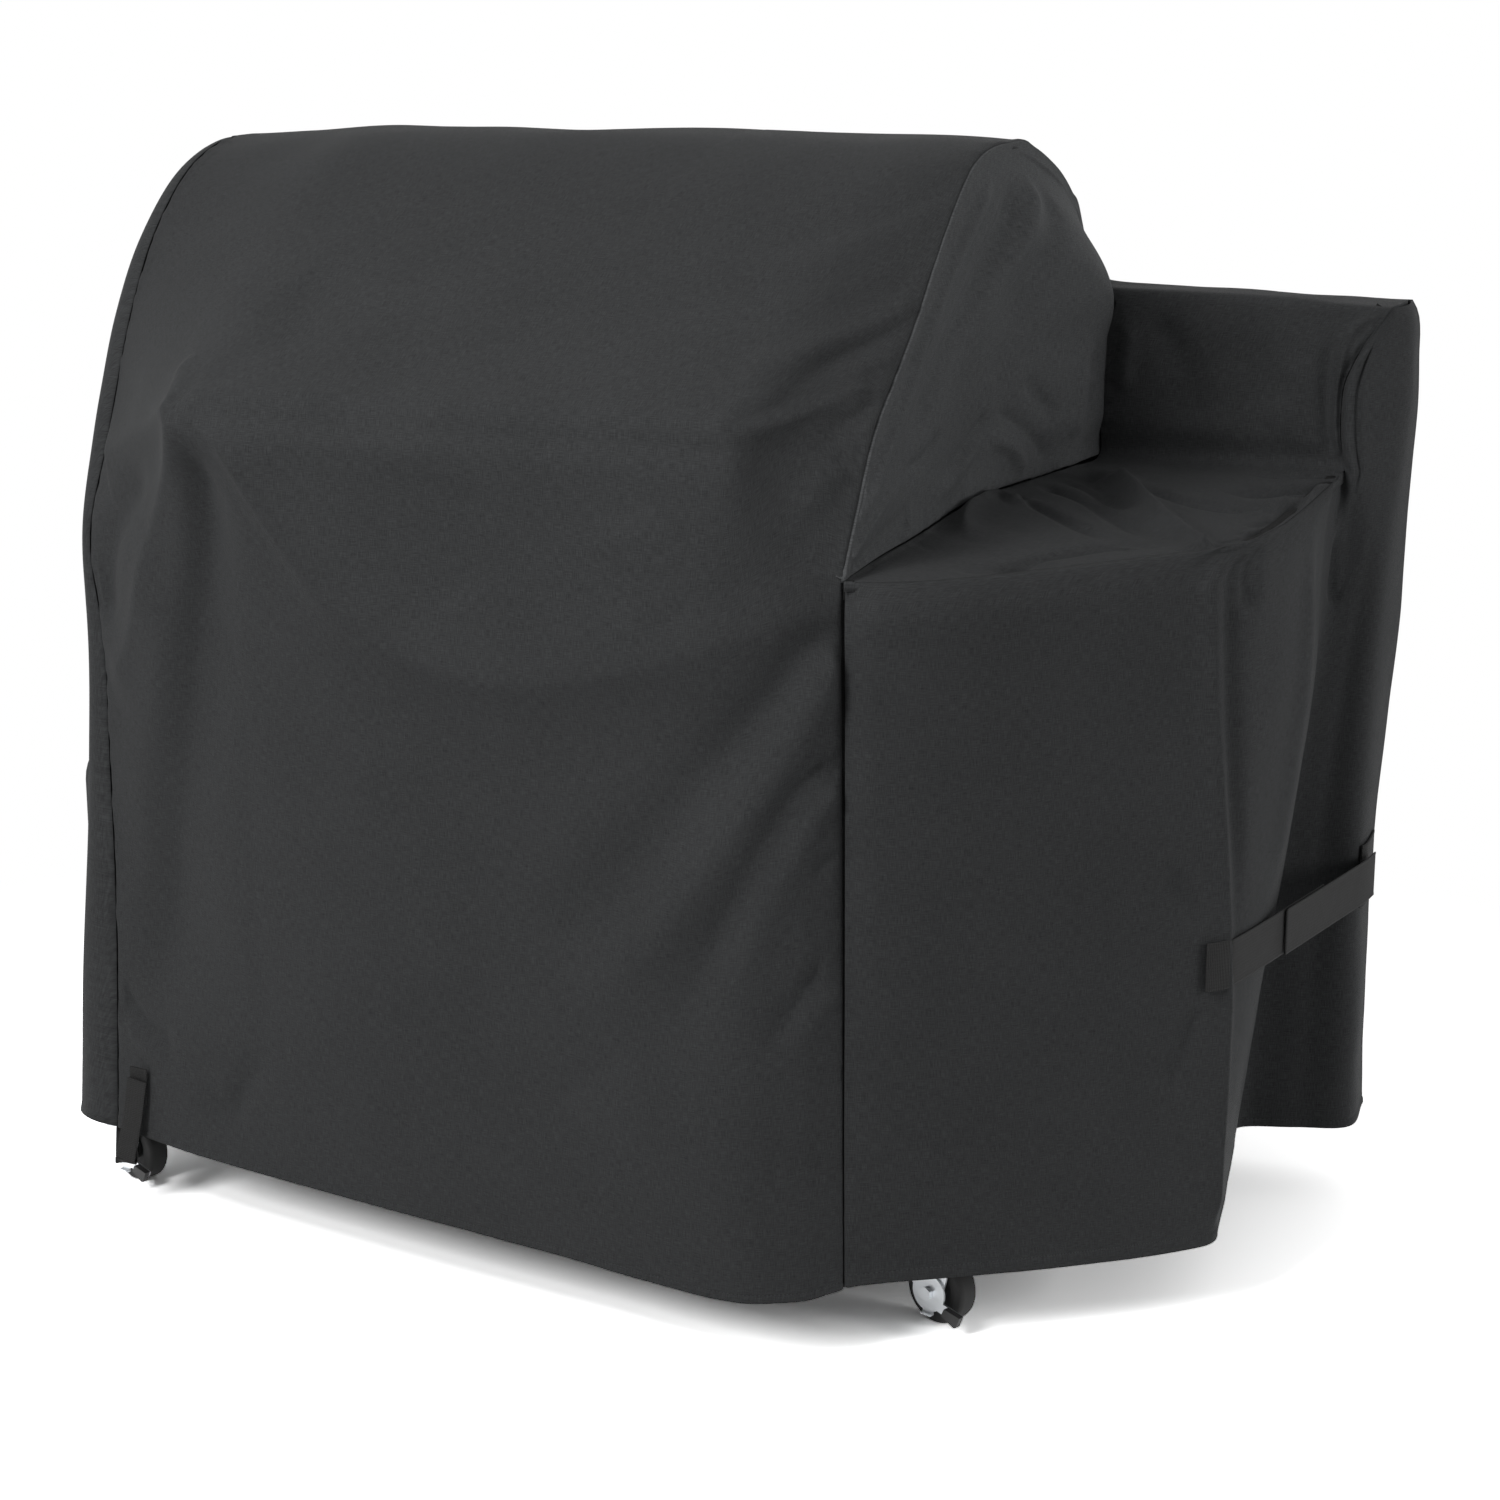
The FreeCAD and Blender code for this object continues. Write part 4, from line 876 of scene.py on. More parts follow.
# %% The side's folds
SIDE_FOLDS = [
    # the crease down from the shelf's corner and the gathers at the rim
    dict(line=[(.404, .812), (.406, .743), (.413, .620), (.424, .500), (.434, .400),
               (.438, .300), (.438, .100)], width=(.006, .009), height=.0067, fade=(.03, .05),
         sharp=.4),
    dict(line=[(.422, .812), (.424, .743), (.431, .620), (.442, .500), (.452, .400)],
         width=(.008, .012), height=-.0075, fade=(.03, .4)),
    dict(line=[(.436, .812), (.440, .786), (.445, .750)], width=(.007, .011), height=-.009),
    # drawn towards the strap's stitched end
    dict(line=[(.400, .350), (.380, .306), (.350, .250)], width=(.007, .020), height=-.0045),
    dict(line=[(.400, .426), (.378, .462), (.350, .500)], width=(.007, .020), height=-.0045),
    # the flap over the valley, and the hopper's cheek behind it
    dict(line=[(.560, .830), (.572, .700), (.560, .540), (.540, .400)], width=(.018, .030),
         height=.006),
    dict(line=[(.730, .790), (.738, .740), (.752, .712), (.770, .725)], width=.007, height=-.006),
    dict(line=[(.735, .990), (.733, .930), (.735, .870), (.742, .810)], width=(.006, .008),
         height=.006, fade=(.15, .3)),
    dict(line=[(.747, .990), (.745, .930), (.747, .870), (.752, .810)], width=(.005, .007),
         height=-.006, fade=(.15, .3)),
]
normal = normals_of(side[:top_row])
normal = np.concatenate([normal, normals_of(side[top_row - 1:])[1:]])
length_at = np.broadcast_to(run_round, side.shape[:2])
height = bumps(SIDE_FOLDS, length_at, side[..., 2])
height = height + crumple(side, 0.18, 0.0035, 41.2) + crumple(side, 0.06, 0.0008, 44.9)
height = height * ease(0, .01, length_at)
height = height + puckers(side[..., 2], length_at, 0.016, 0.0030, 0.012, 46.5)
seam_rows = (1 - ease(0, .02, seam[:, 2] - side[..., 2])) * ~on_hopper[None]
height = height * (1 - .7 * seam_rows) + hemmed(side[..., 2] - HEM_Z)
side = side + normal * height[..., None]
shelf_rim = side[top_row - 1, ~on_hopper]
side[top_row:, ~on_hopper] = shelf_rim[None] - (0, 0, ALLOWANCE)
side[top_row, ~on_hopper] = shelf_rim - (0, 0, ROLL)
side_looks = tuple(normal[len(skirt) // 2, 2])
turned, _ = turned_in(side, normal, ("low",))
keep = np.pad(keep, ((0, 0), (1, 0)), mode="edge")
measure = np.stack([np.broadcast_to(np.pad(run_round, (1, 0)), turned.shape[:2]),
                    turned[..., 2] - HEM_Z], axis=-1)
side_cloth = sheet_mesh("side_cloth", turned, measure, keep=keep)
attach(side_cloth, "cover")
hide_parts("side_panel")

# %% [markdown]
# ## The shelf and the hopper
# Shelf top, hopper front and hopper top are one length of cloth. It could be three planes with
# a bevel between them, but the real cloth runs on over the two bends, and so do its folds. Each
# row crosses from its left edge (the lid's base, then the inner seam) to its right edge (the
# shelf's seam, then the hopper's right seam).

# %% Hang the shelf's cloth
HOPPER_BACK = .409
LEFT_EDGE = BASE[:8] + INNER_SEAM[1:] + [(.396, .308, 1.034), (.372, .350, 1.033),
                                         (.346, HOPPER_BACK, 1.031)]
RIGHT_EDGE = SHELF_SEAM + [(ring[0][0], ring[0][1], z) for z, ring in CHEEK_NET[1:]] + [
    (.6965, .330, 1.0245), (.6970, .362, 1.0255), (.6890, HOPPER_BACK, 1.0210)]
LEFT_MARKS = (0, 7, 12, 15)       # corner, shelf's back, hopper's top edge, hopper's back
RIGHT_MARKS = (0, 9, 17, 20)
ROWS_PER_PART = (200, 64, 24)


def rows_of(points, marks):
    """Places along one edge, part by part."""
    line = Line(np.array(points) - SHIFT)
    parts = [np.linspace(line.knots[a], line.knots[b], n, endpoint=False)
             for a, b, n in zip(marks, marks[1:], ROWS_PER_PART)]
    return line.at(np.concatenate([*parts, [1]]))


left_edge, right_edge = rows_of(LEFT_EDGE, LEFT_MARKS), rows_of(RIGHT_EDGE, RIGHT_MARKS)
cross = graded(150, 2, 3)
shelf = left_edge[:, None] + (right_edge - left_edge)[:, None] * cross[None, :, None]
part = np.interp(np.arange(len(shelf)), np.cumsum((0, *ROWS_PER_PART)), (0, 1, 2, 3))
print("shelf cloth:", shelf.shape[:2])

# %% [markdown]
# On the shelf one crisp ridge crosses to the rim, and pinches start at the lid's base and at the
# hopper's foot. Places are (x, y) on the shelf and (x, height) on the hopper. Where a fold sinks
# in, the hard form under the cloth stops it, as it does on the real thing.

# %% The shelf's folds
FORM_CLEAR, SHELF_CLEAR = .002, .0012        # the cloth stays this far off the forms
TUCK = .030                                  # the hopper's top goes under the lid's end by this
SHELF_FOLDS = [
    # a pinch along the lid's base, and the folds that run out from it
    dict(line=[(.372, .058), (.361, .030), (.342, .030), (.334, .008), (.336, -.037),
               (.352, -.102), (.380, -.160)], width=(.006, .012), height=.009, fade=(.1, .3),
         sharp=.4),
    dict(line=[(.350, .052), (.389, .026), (.456, -.034), (.520, -.091)], width=(.006, .014),
         height=-.0067, fade=(.1, .4)),
    dict(line=[(.356, .118), (.419, .087), (.480, .023), (.542, -.053)], width=(.008, .014),
         height=-.0075, fade=(.1, .3)),
    # the crisp ridge across the shelf
    dict(line=[(.408, .224), (.440, .172), (.471, .121), (.505, .065), (.538, .009),
               (.582, -.055), (.618, -.086)], width=(.009, .011), height=.015, lean=-.25,
         fade=(.12, .12), sharp=.3),
    dict(line=[(.372, .236), (.402, .176), (.440, .112), (.478, .050)], width=(.012, .020),
         height=-.009, fade=(.2, .4)),
    dict(line=[(.420, -.243), (.462, -.156), (.508, -.095), (.562, -.077)], width=(.010, .012),
         height=-.0075),
    dict(line=[(.433, .180), (.480, .150), (.533, .124), (.590, .118), (.629, .122)],
         width=(.008, .010), height=-.0067),
    # the rolled rim above the side, with small gathers
    dict(line=[(.590, -.105), (.612, -.072), (.628, -.030), (.636, .030), (.641, .100),
               (.643, .170), (.642, .232)], width=.0055, height=.0075, fade=(.12, .1),
         sharp=.3),
    dict(line=[(.578, -.088), (.598, -.058), (.612, -.020), (.620, .035), (.625, .100),
               (.627, .170), (.626, .225)], width=.0065, height=-.0067, fade=(.12, .1)),
    dict(line=[(.594, -.040), (.606, -.020), (.612, .004)], width=.005, height=-.006),
    dict(line=[(.604, .010), (.612, .028), (.616, .052)], width=.005, height=.0045),
    dict(line=[(.600, .052), (.612, .074), (.617, .100)], width=.006, height=-.0045),
    dict(line=[(.600, .112), (.612, .132), (.618, .156)], width=.006, height=.0045),
    # from the fold at the hopper's foot
    dict(line=[(.646, .266), (.618, .224), (.571, .189), (.530, .172)], width=(.006, .014),
         height=-.0105, fade=(.06, .4), sharp=.4),
    dict(line=[(.642, .246), (.621, .155), (.590, .104), (.560, .078)], width=(.006, .012),
         height=.0067, fade=(.06, .4)),
    dict(line=[(.640, .284), (.590, .270), (.540, .262)], width=(.006, .012), height=-.0075,
         fade=(.06, .4)),
    dict(line=[(.361, .157), (.419, .132), (.485, .074)], width=(.008, .012), height=-.0045),
    dict(line=[(.400, -.270), (.430, -.230), (.460, -.180)], width=.020, height=-.0045),
]
HOPPER_FOLDS = [
    # a lip beside the right edge that opens into an ear at the top, and a valley before it
    dict(line=[(.642, .857), (.6355, .882), (.6332, .912), (.6342, .945), (.6382, .975),
               (.645, .998), (.660, 1.009), (.676, 1.017)], width=(.0040, .0050), height=.0078,
         fade=(.08, .1), sharp=.4),
    dict(line=[(.630, .860), (.623, .890), (.620, .930), (.620, .965), (.627, .995)],
         width=(.007, .009), height=-.0052, fade=(.12, .3)),
    dict(line=[(.648, .965), (.656, .984), (.668, 1.000)], width=.006, height=.0052),
    dict(line=[(.405, 1.000), (.400, .960), (.395, .915)], width=.010, height=.0052),
    dict(line=[(.420, 1.010), (.450, .975), (.470, .930), (.480, .880)], width=(.012, .030),
         height=-.0052),
    dict(line=[(.500, .990), (.540, .950), (.560, .900)], width=.030, height=-.0039),
    dict(line=[(.560, .880), (.590, .920), (.600, .970)], width=.030, height=.0039),
]
normal = facing(shelf, 2)
on_shelf = (part < 1)[:, None]
height = bumps(SHELF_FOLDS, shelf[..., 0], shelf[..., 1]) * on_shelf
height = height + bumps(HOPPER_FOLDS, shelf[..., 0], shelf[..., 2]) * ~on_shelf
sag = np.sin(np.pi * cross)[None] * np.sin(np.pi * np.clip(part, 0, 1))[:, None]
height = height - .006 * sag + crumple(shelf, 0.10, 0.0035, 51.2) * .8
height = height + crumple(shelf, 0.04, 0.0010, 54.9)
for_left = np.linalg.norm(shelf - shelf[:, :1], axis=2)
for_right = np.linalg.norm(shelf - shelf[:, -1:], axis=2)
height = height * ease(0, .008, for_left) * ease(0, .008, for_right)
edge_share = np.broadcast_to((part * .5)[:, None], shelf.shape[:2])
height = height + puckers(edge_share, for_left, 0.014, 0.0030, 0.010, 56.5)
height = height + puckers(edge_share, for_right, 0.016, 0.0020, 0.010, 58.5)
shelf = shelf + normal * height[..., None]
tucked = ease(.3, 0, cross)[None] * ease(1.9, 2.1, part)[:, None]
tucked = tucked * ease(.402, .370, shelf[..., 1])
shelf[..., 0] -= TUCK * tucked
form_low, form_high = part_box("shelf_form")
over_shelf = on_shelf & (shelf[..., 0] < form_high.x + FORM_CLEAR)
over_shelf = over_shelf & (shelf[..., 1] > form_low.y - FORM_CLEAR)
above_form = np.maximum(shelf[..., 2], form_high.z + SHELF_CLEAR)
shelf[..., 2] = np.where(over_shelf, above_form, shelf[..., 2])
hopper_low, hopper_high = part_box("hopper_form")
over_form = ~on_shelf & (shelf[..., 2] < hopper_high.z) & (shelf[..., 0] < hopper_high.x + .003)
before_form = np.minimum(shelf[..., 1], hopper_low.y - FORM_CLEAR)
shelf[..., 1] = np.where(over_form, before_form, shelf[..., 1])
on_top = ~on_shelf & (shelf[..., 1] > hopper_low.y - .001) & (shelf[..., 2] > hopper_high.z - .03)
above_hopper = np.maximum(shelf[..., 2], hopper_high.z + FORM_CLEAR)
shelf[..., 2] = np.where(on_top, above_hopper, shelf[..., 2])
shelf_looks = facing(shelf, 2)
for _ in range(3):                       # round the creases between the three parts
    soft = (shelf[:-2] + 2 * shelf[1:-1] + shelf[2:]) / 4
    shelf[1:-1] = np.where((np.abs(part[1:-1] - 2) < .25)[:, None, None], soft, shelf[1:-1])
turned, _ = turned_in(shelf, shelf_looks, ("low", "high"))
shelf_cloth = sheet_mesh("shelf_cloth", turned, measured(turned) + (0, 1))
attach(shelf_cloth, "cover")
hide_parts("shelf_top_panel", "hopper_front_panel", "hopper_top_panel")

# %% [markdown]
# All panels round the right side are hung now, so their seams can be bound. Each tape takes the
# points of its seam and the directions that the two panels beside it look in.

# %% Bind the seams of the right side
UP, FORWARDS, RIGHT = (0, 0, 1), (0, -1, 0), (1, 0, 0)
CHEEK_LOOKS = (-.45, -.89, 0)
parts_at = np.cumsum(ROWS_PER_PART)
rim_plan = np.gradient(shelf[:parts_at[0], -1], axis=0)
rim_looks = np.stack([rim_plan[:, 1], -rim_plan[:, 0], 0 * rim_plan[:, 0]], axis=1)
rim_looks /= np.linalg.norm(rim_looks, axis=1, keepdims=True)
at_shelf = np.argmax(main_seams["high"][:, 2] > base_line.at(0)[2])
lid_seam = main_seams["high"][at_shelf::2]
bound("lid_seam_binding", lid_seam, main_looks[at_shelf::2, -1], RIGHT, deep=.0065, wide=.009)
skirt_seam = main_seams["high"][:at_shelf + 1:2]
bound("skirt_seam_binding", skirt_seam, main_looks[:at_shelf + 1:2, -1], side_looks)
bound("shelf_seam_binding", shelf[:parts_at[0], -1][::2], np.asarray([UP]), rim_looks[::2])
bound("lid_base_binding", shelf[:parts_at[0], 0][::2], UP, RIGHT)
bound("inner_seam_binding", shelf[parts_at[0]:parts_at[1], 0][::2], FORWARDS, RIGHT)
bound("cheek_seam_binding", shelf[parts_at[0]:parts_at[1], -1][::2], CHEEK_LOOKS, RIGHT)
bound("hopper_seam_binding", shelf[parts_at[1]:, -1], UP, RIGHT)

# %% [markdown]
# ## The hopper's back
# A plain hanging panel closes the back. Its left edge is sewn to the back edge of the main
# panel, its right edge to the side and its top to the hopper's top, so its grid is worked out
# from those three edges. A flat plane there would stand open along them.

# %% Hang the hopper's back
SEWN_SHARE = .3                      # this much of the width is drawn in to the sewn edge
FREE_SHARE = .04                     # and this much stays at it, beside the hopper's form
back_low, back_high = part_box("hopper_back_panel")
back_v = hem_rows(back_high.z - back_low.z, 100) / (back_high.z - back_low.z)
grid_u, grid_v = np.meshgrid(np.linspace(0, 1, 48), back_v)
side_edge, top_edge = side[:, -1], shelf[-1]
grid_z = back_low.z + grid_v * (back_high.z - back_low.z)
right_x_at = np.interp(grid_z, side_edge[:, 2], side_edge[:, 0])
main_edge = main_seams["high"][main_seams["high"][:, 2].argmax():][::-1]
left_x_at = np.interp(grid_z, main_edge[:, 2], main_edge[:, 0]) - .001
grid_x = left_x_at + grid_u * (right_x_at - left_x_at)
top_z = np.interp(grid_x, top_edge[:, 0], top_edge[:, 2])
grid_z = back_low.z + grid_v * (top_z - back_low.z)
sewn_y = np.interp(grid_z, main_edge[:, 2], main_edge[:, 1]) + .0012
back_y = back_high.y - FORM_CLEAR
grid_y = back_y + (sewn_y - back_y) * ease(SEWN_SHARE, 0, grid_u)
behind_form = (grid_u > FREE_SHARE) & (grid_z < hopper_high.z + .01)
grid_y = np.where(behind_form, np.maximum(grid_y, hopper_high.y + .003), grid_y)
place = np.stack([grid_x, grid_y, grid_z], axis=-1)
BACK_PANEL_FOLDS = [
    dict(line=[(.45, .95), (.44, .60), (.46, .15)], width=(.02, .04), height=.006),
    dict(line=[(.58, .98), (.60, .60), (.58, .15)], width=(.02, .04), height=-.006),
]
height = bumps(BACK_PANEL_FOLDS, grid_x, grid_z) + crumple(place, 0.15, 0.003, 61.1)
place[..., 1] += height * ease(0, .06, grid_u) * ease(0, .06, 1 - grid_u)
place[..., 1] += hemmed(grid_z - back_low.z)
hopper_back = sheet_mesh("hopper_back_cloth", place, place[..., [0, 2]] - (0, back_low.z),
                         flip=True)
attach(hopper_back, "cover")
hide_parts("hopper_back_panel")
print("hopper back:", place.shape[:2])

# %% [markdown]
# ## Webbing straps
# Webbing is flat, woven tape that hardly stretches. A curve with a flat bevel would do for a
# straight run, but it twists where it likes at a bend. Here every strap is a grid that is swept
# along a line, with the direction of its width given, and with its thick woven edges raised.

# %% Make a ribbon
WEB_WIDTH, WEB_THICK = 0.050, 0.0015
LEG_WEB_WIDTH = 0.025
SELVEDGE = 0.0003                    # how far the woven edges stand up


def ribbon(name, points, width, side=(0, 0, 1), thick=WEB_THICK, steps=60):
    """Webbing along a line through points; side is the direction of its width."""
    line = Line(np.array(points) - SHIFT)
    path = line.at(np.linspace(0, 1, steps + 1))
    ahead = np.gradient(path, axis=0)
    ahead /= np.linalg.norm(ahead, axis=1, keepdims=True)
    side = np.broadcast_to(np.asarray(side, float), path.shape)
    side = side - ahead * (side * ahead).sum(1, keepdims=True)
    side /= np.linalg.norm(side, axis=1, keepdims=True)
    out = np.cross(ahead, side)
    t = np.array([-1, -.93, -.86, -.6, -.3, 0, .3, .6, .86, .93, 1]) / 2
    raised = SELVEDGE * (np.abs(t) > .45)
    place = (path[:, None] + side[:, None] * (t * width)[None, :, None]
             + out[:, None] * raised[None, :, None])
    across = np.broadcast_to(t * width, place.shape[:2])
    along = np.broadcast_to((np.linspace(0, 1, steps + 1) * line.length)[:, None],
                            place.shape[:2])
    obj = sheet_mesh(name, place, np.stack([across, along], axis=-1), thick=thick)
    obj.modifiers[0].offset = 0
    print(name, "length", round(float(line.length), 3), "m")
    return obj


def on_skirt(place, height, out=0.0):
    """A point on the side's skirt at a place round the rings, moved outwards."""
    spots = over_net(SKIRT_NET, [height], np.array([place - .05, place, place + .05]))[0]
    ahead = spots[2] - spots[0]
    away = np.array([ahead[1], -ahead[0], 0]) / np.hypot(ahead[0], ahead[1])
    return tuple(spots[1] + away * out + SHIFT)


# %% [markdown]
# The cinch strap is sewn down at the shelf's front corner, with its end folded under. It lies on
# the cloth round the corner and then runs straight to the back, where the rear strap laps over
# it and holds on a patch of hook tape. Places on the cloth come from the side's own net, so the
# strap follows the skirt whatever its points are.

# %% The cinch strap round the right side
CINCH_Z = .388
CORNER_PLACES = (4.42, 4.6, 4.8, 5.0, 5.2)
STRAP_FAR = (.6985, .352, CINCH_Z)


def taut(y, out=0.0):
    """The strap's straight run between the corner and the back, at y."""
    start = np.array(on_skirt(5.35, CINCH_Z, .003))
    share = (y - start[1]) / (STRAP_FAR[1] - start[1])
    return tuple(start + (np.array(STRAP_FAR) - start) * share + [out, 0, 0])


wrapped = [on_skirt(q, CINCH_Z, .0030) for q in CORNER_PLACES]
cinch = ribbon("cinch_webbing", wrapped + [taut(y) for y in (.03, .10, .16, .195)], WEB_WIDTH)
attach(cinch, "cover")
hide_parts("cinch_strap")

folded = ribbon(
    "cinch_folded_end", [on_skirt(q, CINCH_Z, .0048) for q in (4.40, 4.55, 4.7, 4.85, 5.0)],
    WEB_WIDTH * 1.03, thick=.0018)
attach(folded, "cover")
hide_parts("cinch_anchor")

rear = ribbon(
    "rear_webbing", [taut(y, .0035 - .004 * ease(.30, .35, y)) for y in
                     (.088, .12, .17, .22, .27, .31, .344)], WEB_WIDTH)
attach(rear, "rear_strap_end")
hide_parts("rear_strap")

patch = ribbon(
    "rear_hook_patch", [on_skirt(q, CINCH_Z, .0022) for q in (12.02, 12.2, 12.5, 12.85)],
    .072, thick=.0022)
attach(patch, "cover")
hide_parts("rear_strap_patch")

# %% [markdown]
# The leg strap's free end hangs over the hem at the front left; under the hem it turns back and
# goes round the leg's foot, which keeps the wind from lifting the cover.

# %% The leg strap
LEG_TOP, LEG_BEND = (-.553, -.2625, .164), (-.569, -.271, .069)
leg_line = [LEG_TOP, (-.5555, -.2635, .148), (-.560, -.2650, .118), (-.565, -.2685, .090),
            LEG_BEND]
leg_tail = ribbon("leg_strap_webbing", leg_line, LEG_WEB_WIDTH, (-1, 0, 0))
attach(leg_tail, "leg_strap_end")
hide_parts("leg_strap_tail")

hook_line = [(-.552, -.2600, .178), (-.553, -.2602, .160), (-.555, -.2610, .135)]
hooks = ribbon("leg_hook_patch", hook_line, LEG_WEB_WIDTH * .9, (-1, 0, 0), thick=.0012)
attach(hooks, "cover")
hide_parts("leg_strap_patch")

leg_low, leg_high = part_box("front_left_leg")
leg_middle = (leg_low + leg_high) / 2 + Vector(SHIFT)
LOOP_CLEAR, LOOP_CORNER = .0016, 1.28        # off the leg, and how far out its corners reach
leg_half = (leg_high.x - leg_low.x) / 2 + LOOP_CLEAR
LOOP_Z = .1165
ring_points = []
for step in range(17):                       # once round the square leg, from corner to corner
    angle = math.radians(-45 + 22.5 * step)
    square = 1 / max(abs(math.cos(angle)), abs(math.sin(angle)))
    round_it = leg_half * min(square, LOOP_CORNER)
    ring_points.append((leg_middle.x + round_it * math.cos(angle),
                        leg_middle.y + round_it * math.sin(angle), LOOP_Z))
leg_loop = ribbon("leg_strap_loop_webbing", ring_points, LEG_WEB_WIDTH, steps=96)
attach(leg_loop, "cover")
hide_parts("leg_strap_loop")

lead_line = [LEG_BEND, (-.5700, -.268, .0655), (-.573, -.262, .0665), (-.596, -.226, .086),
             (-.618, -.188, .104)]
lead = ribbon("leg_strap_lead", lead_line, LEG_WEB_WIDTH, (-1, 0, 0))
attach(lead, "cover")

# %% [markdown]
# ## Finishes
# A finish is a small tree of nodes. It could be wired node by node, which soon hides what the
# pattern is. `Val` wraps one socket instead, so that a pattern can be written as a sum, and
# `Finish.node` makes any other node. Only colour, roughness and bump vary over a surface; the
# rest is set on the shader as plain numbers.

# %% Write finishes as expressions
class Val:
    """A socket of a finish's nodes, or a number, in an expression."""

    def __init__(self, finish, socket):
        self.finish, self.socket = finish, socket

    def math(self, operation, *others):
        return self.finish.node("ShaderNodeMath", {"operation": operation}, [self, *others])

    def __add__(self, other):
        return self.math("ADD", other)

    def __radd__(self, other):
        return self.math("ADD", other)

    def __sub__(self, other):
        return self.math("SUBTRACT", other)

    def __rsub__(self, other):
        return (self * -1) + other

    def __mul__(self, other):
        return self.math("MULTIPLY", other)

    def __rmul__(self, other):
        return self.math("MULTIPLY", other)

    def __truediv__(self, other):
        return self.math("DIVIDE", other)

    def sine(self):
        return self.math("SINE")

    def size(self):
        return self.math("ABSOLUTE")

    def between(self, low, high):
        """0 at low, 1 at high, held between."""
        return self.finish.node("ShaderNodeMapRange", {"interpolation_type": "SMOOTHSTEP"},
                                {"Value": self, "From Min": low, "From Max": high})


class Finish:
    """A material with a Principled shader and helpers for its nodes."""

    def __init__(self, name, **constants):
        self.material = bpy.data.materials.new(name)
        self.material.use_nodes = True
        self.tree = self.material.node_tree
        self.shader = self.tree.nodes["Principled BSDF"]
        for key, value in constants.items():
            self.shader.inputs[key.replace("_", " ")].default_value = value

    def node(self, kind, settings=None, inputs=(), output=0):
        """Any node: its settings, then the values or links of its sockets."""
        made = self.tree.nodes.new(kind)
        for key, value in (settings or {}).items():
            setattr(made, key, value)
        named = inputs.items() if isinstance(inputs, dict) else enumerate(inputs)
        for key, value in named:
            if isinstance(value, Val):
                self.tree.links.new(value.socket, made.inputs[key])
            else:
                made.inputs[key].default_value = value
        return Val(self, made.outputs[output])

    def parts(self, vector):
        """The x, y and z of a vector."""
        split = self.node("ShaderNodeSeparateXYZ", inputs=[vector])
        return [Val(self, out) for out in split.socket.node.outputs]

    def vector(self, x, y, z=0.0):
        return self.node("ShaderNodeCombineXYZ", inputs=[x, y, z])

    def noise(self, vector, scale, detail=2.0, roughness=.5):
        return self.node("ShaderNodeTexNoise", {}, {"Vector": vector, "Scale": scale,
                                                    "Detail": detail, "Roughness": roughness})

    def mix(self, factor, dark, light):
        return self.node("ShaderNodeMix", {"data_type": "RGBA"},
                         {0: factor, 6: dark, 7: light}, output=2)

    def feed(self, **sockets):
        for key, value in sockets.items():
            self.tree.links.new(value.socket, self.shader.inputs[key.replace("_", " ")])

    def bump(self, height, strength, distance):
        made = self.node("ShaderNodeBump", {}, {"Height": height, "Strength": strength,
                                                "Distance": distance})
        self.feed(Normal=made)


def grey(level, warm=0.0):
    """A colour with a little warmth (or coolness, below zero)."""
    return (level * (1 + warm), level, level * (1 - warm), 1)


# %% [markdown]
# The cover's cloth is a tight plain weave of matt polyester. Its threads are finer than half a
# millimetre: each thread varies a little in colour and height, which from a distance reads as
# a faint grain in both directions. A picture of cloth could be laid on, but it would repeat and
# blur near by; two sine waves on the cloth's own measure stay sharp and follow every fold. Broad
# cloudy variation keeps it from looking like paint. The lid's end gets a copy of the same cloth
# that is nearly twice as light: painted light, for the light that falls on that end.

# %% The cover's cloth
THREAD = 0.00062
STITCH_AT, STITCH_WIDE, STITCH_PITCH = 0.0086, 0.0007, 0.0040


def woven(name, level, thread, streak, relief, warm, **constants):
    """A plain weave on the cloth's own measure."""
    f = Finish(name, **constants)
    place = f.node("ShaderNodeUVMap", {"uv_map": "cloth"})
    u, v, _ = f.parts(place)
    warp = (u * (math.pi / thread)).sine()
    weft = (v * (math.pi / thread)).sine()
    weave = warp * weft
    over_under = weave.between(-.9, .9)
    across = f.noise(f.vector(u * 90, v * (1 / thread)), 1.0, 2.0, .6)
    along = f.noise(f.vector(u * (1 / thread), v * 90), 1.0, 2.0, .6)
    cloud = f.noise(f.vector(u, v), 9.0, 4.0, .55)
    grain = (across + along - 1.0) * streak
    line = 1 - ((v - STITCH_AT).size() / STITCH_WIDE).between(.5, 1)
    stitch = line * (u * (2 * math.pi / STITCH_PITCH)).sine().between(-.6, .2)
    shade = grain + (cloud - .5) * .35 + over_under * .22 + .40 - line * .30 + stitch * .55
    colour = f.mix(shade.between(-.15, 1.15), grey(level * .62, warm), grey(level * 1.42, warm))
    f.feed(Base_Color=colour, Roughness=(.60 + (cloud - .5) * .16 + (across - .5) * .10))
    f.bump(over_under * .5 + (across + along) * .8 - line * 1.2 + stitch, relief, thread)
    return f


COVER_LOOK = dict(thread=THREAD, streak=1.5, relief=.55, warm=-.028, Specular_IOR_Level=.02,
                  Sheen_Weight=.03, Sheen_Roughness=.45)
cover_cloth = woven("cover_cloth", .050, **COVER_LOOK)
# the same cloth made nearly twice as light for the lid's end: painted light on that end
lid_end_painted_light_cloth = woven("cover_cloth_painted_lighter", .092, **COVER_LOOK)
CLOTH_PIECES = [main_panel, left_end, lid_end, side_cloth, shelf_cloth, hopper_back]
for piece in CLOTH_PIECES:
    finish = lid_end_painted_light_cloth if piece is lid_end else cover_cloth
    piece.data.materials.clear()
    piece.data.materials.append(finish.material)
print("cloth on", len(CLOTH_PIECES), "panels")

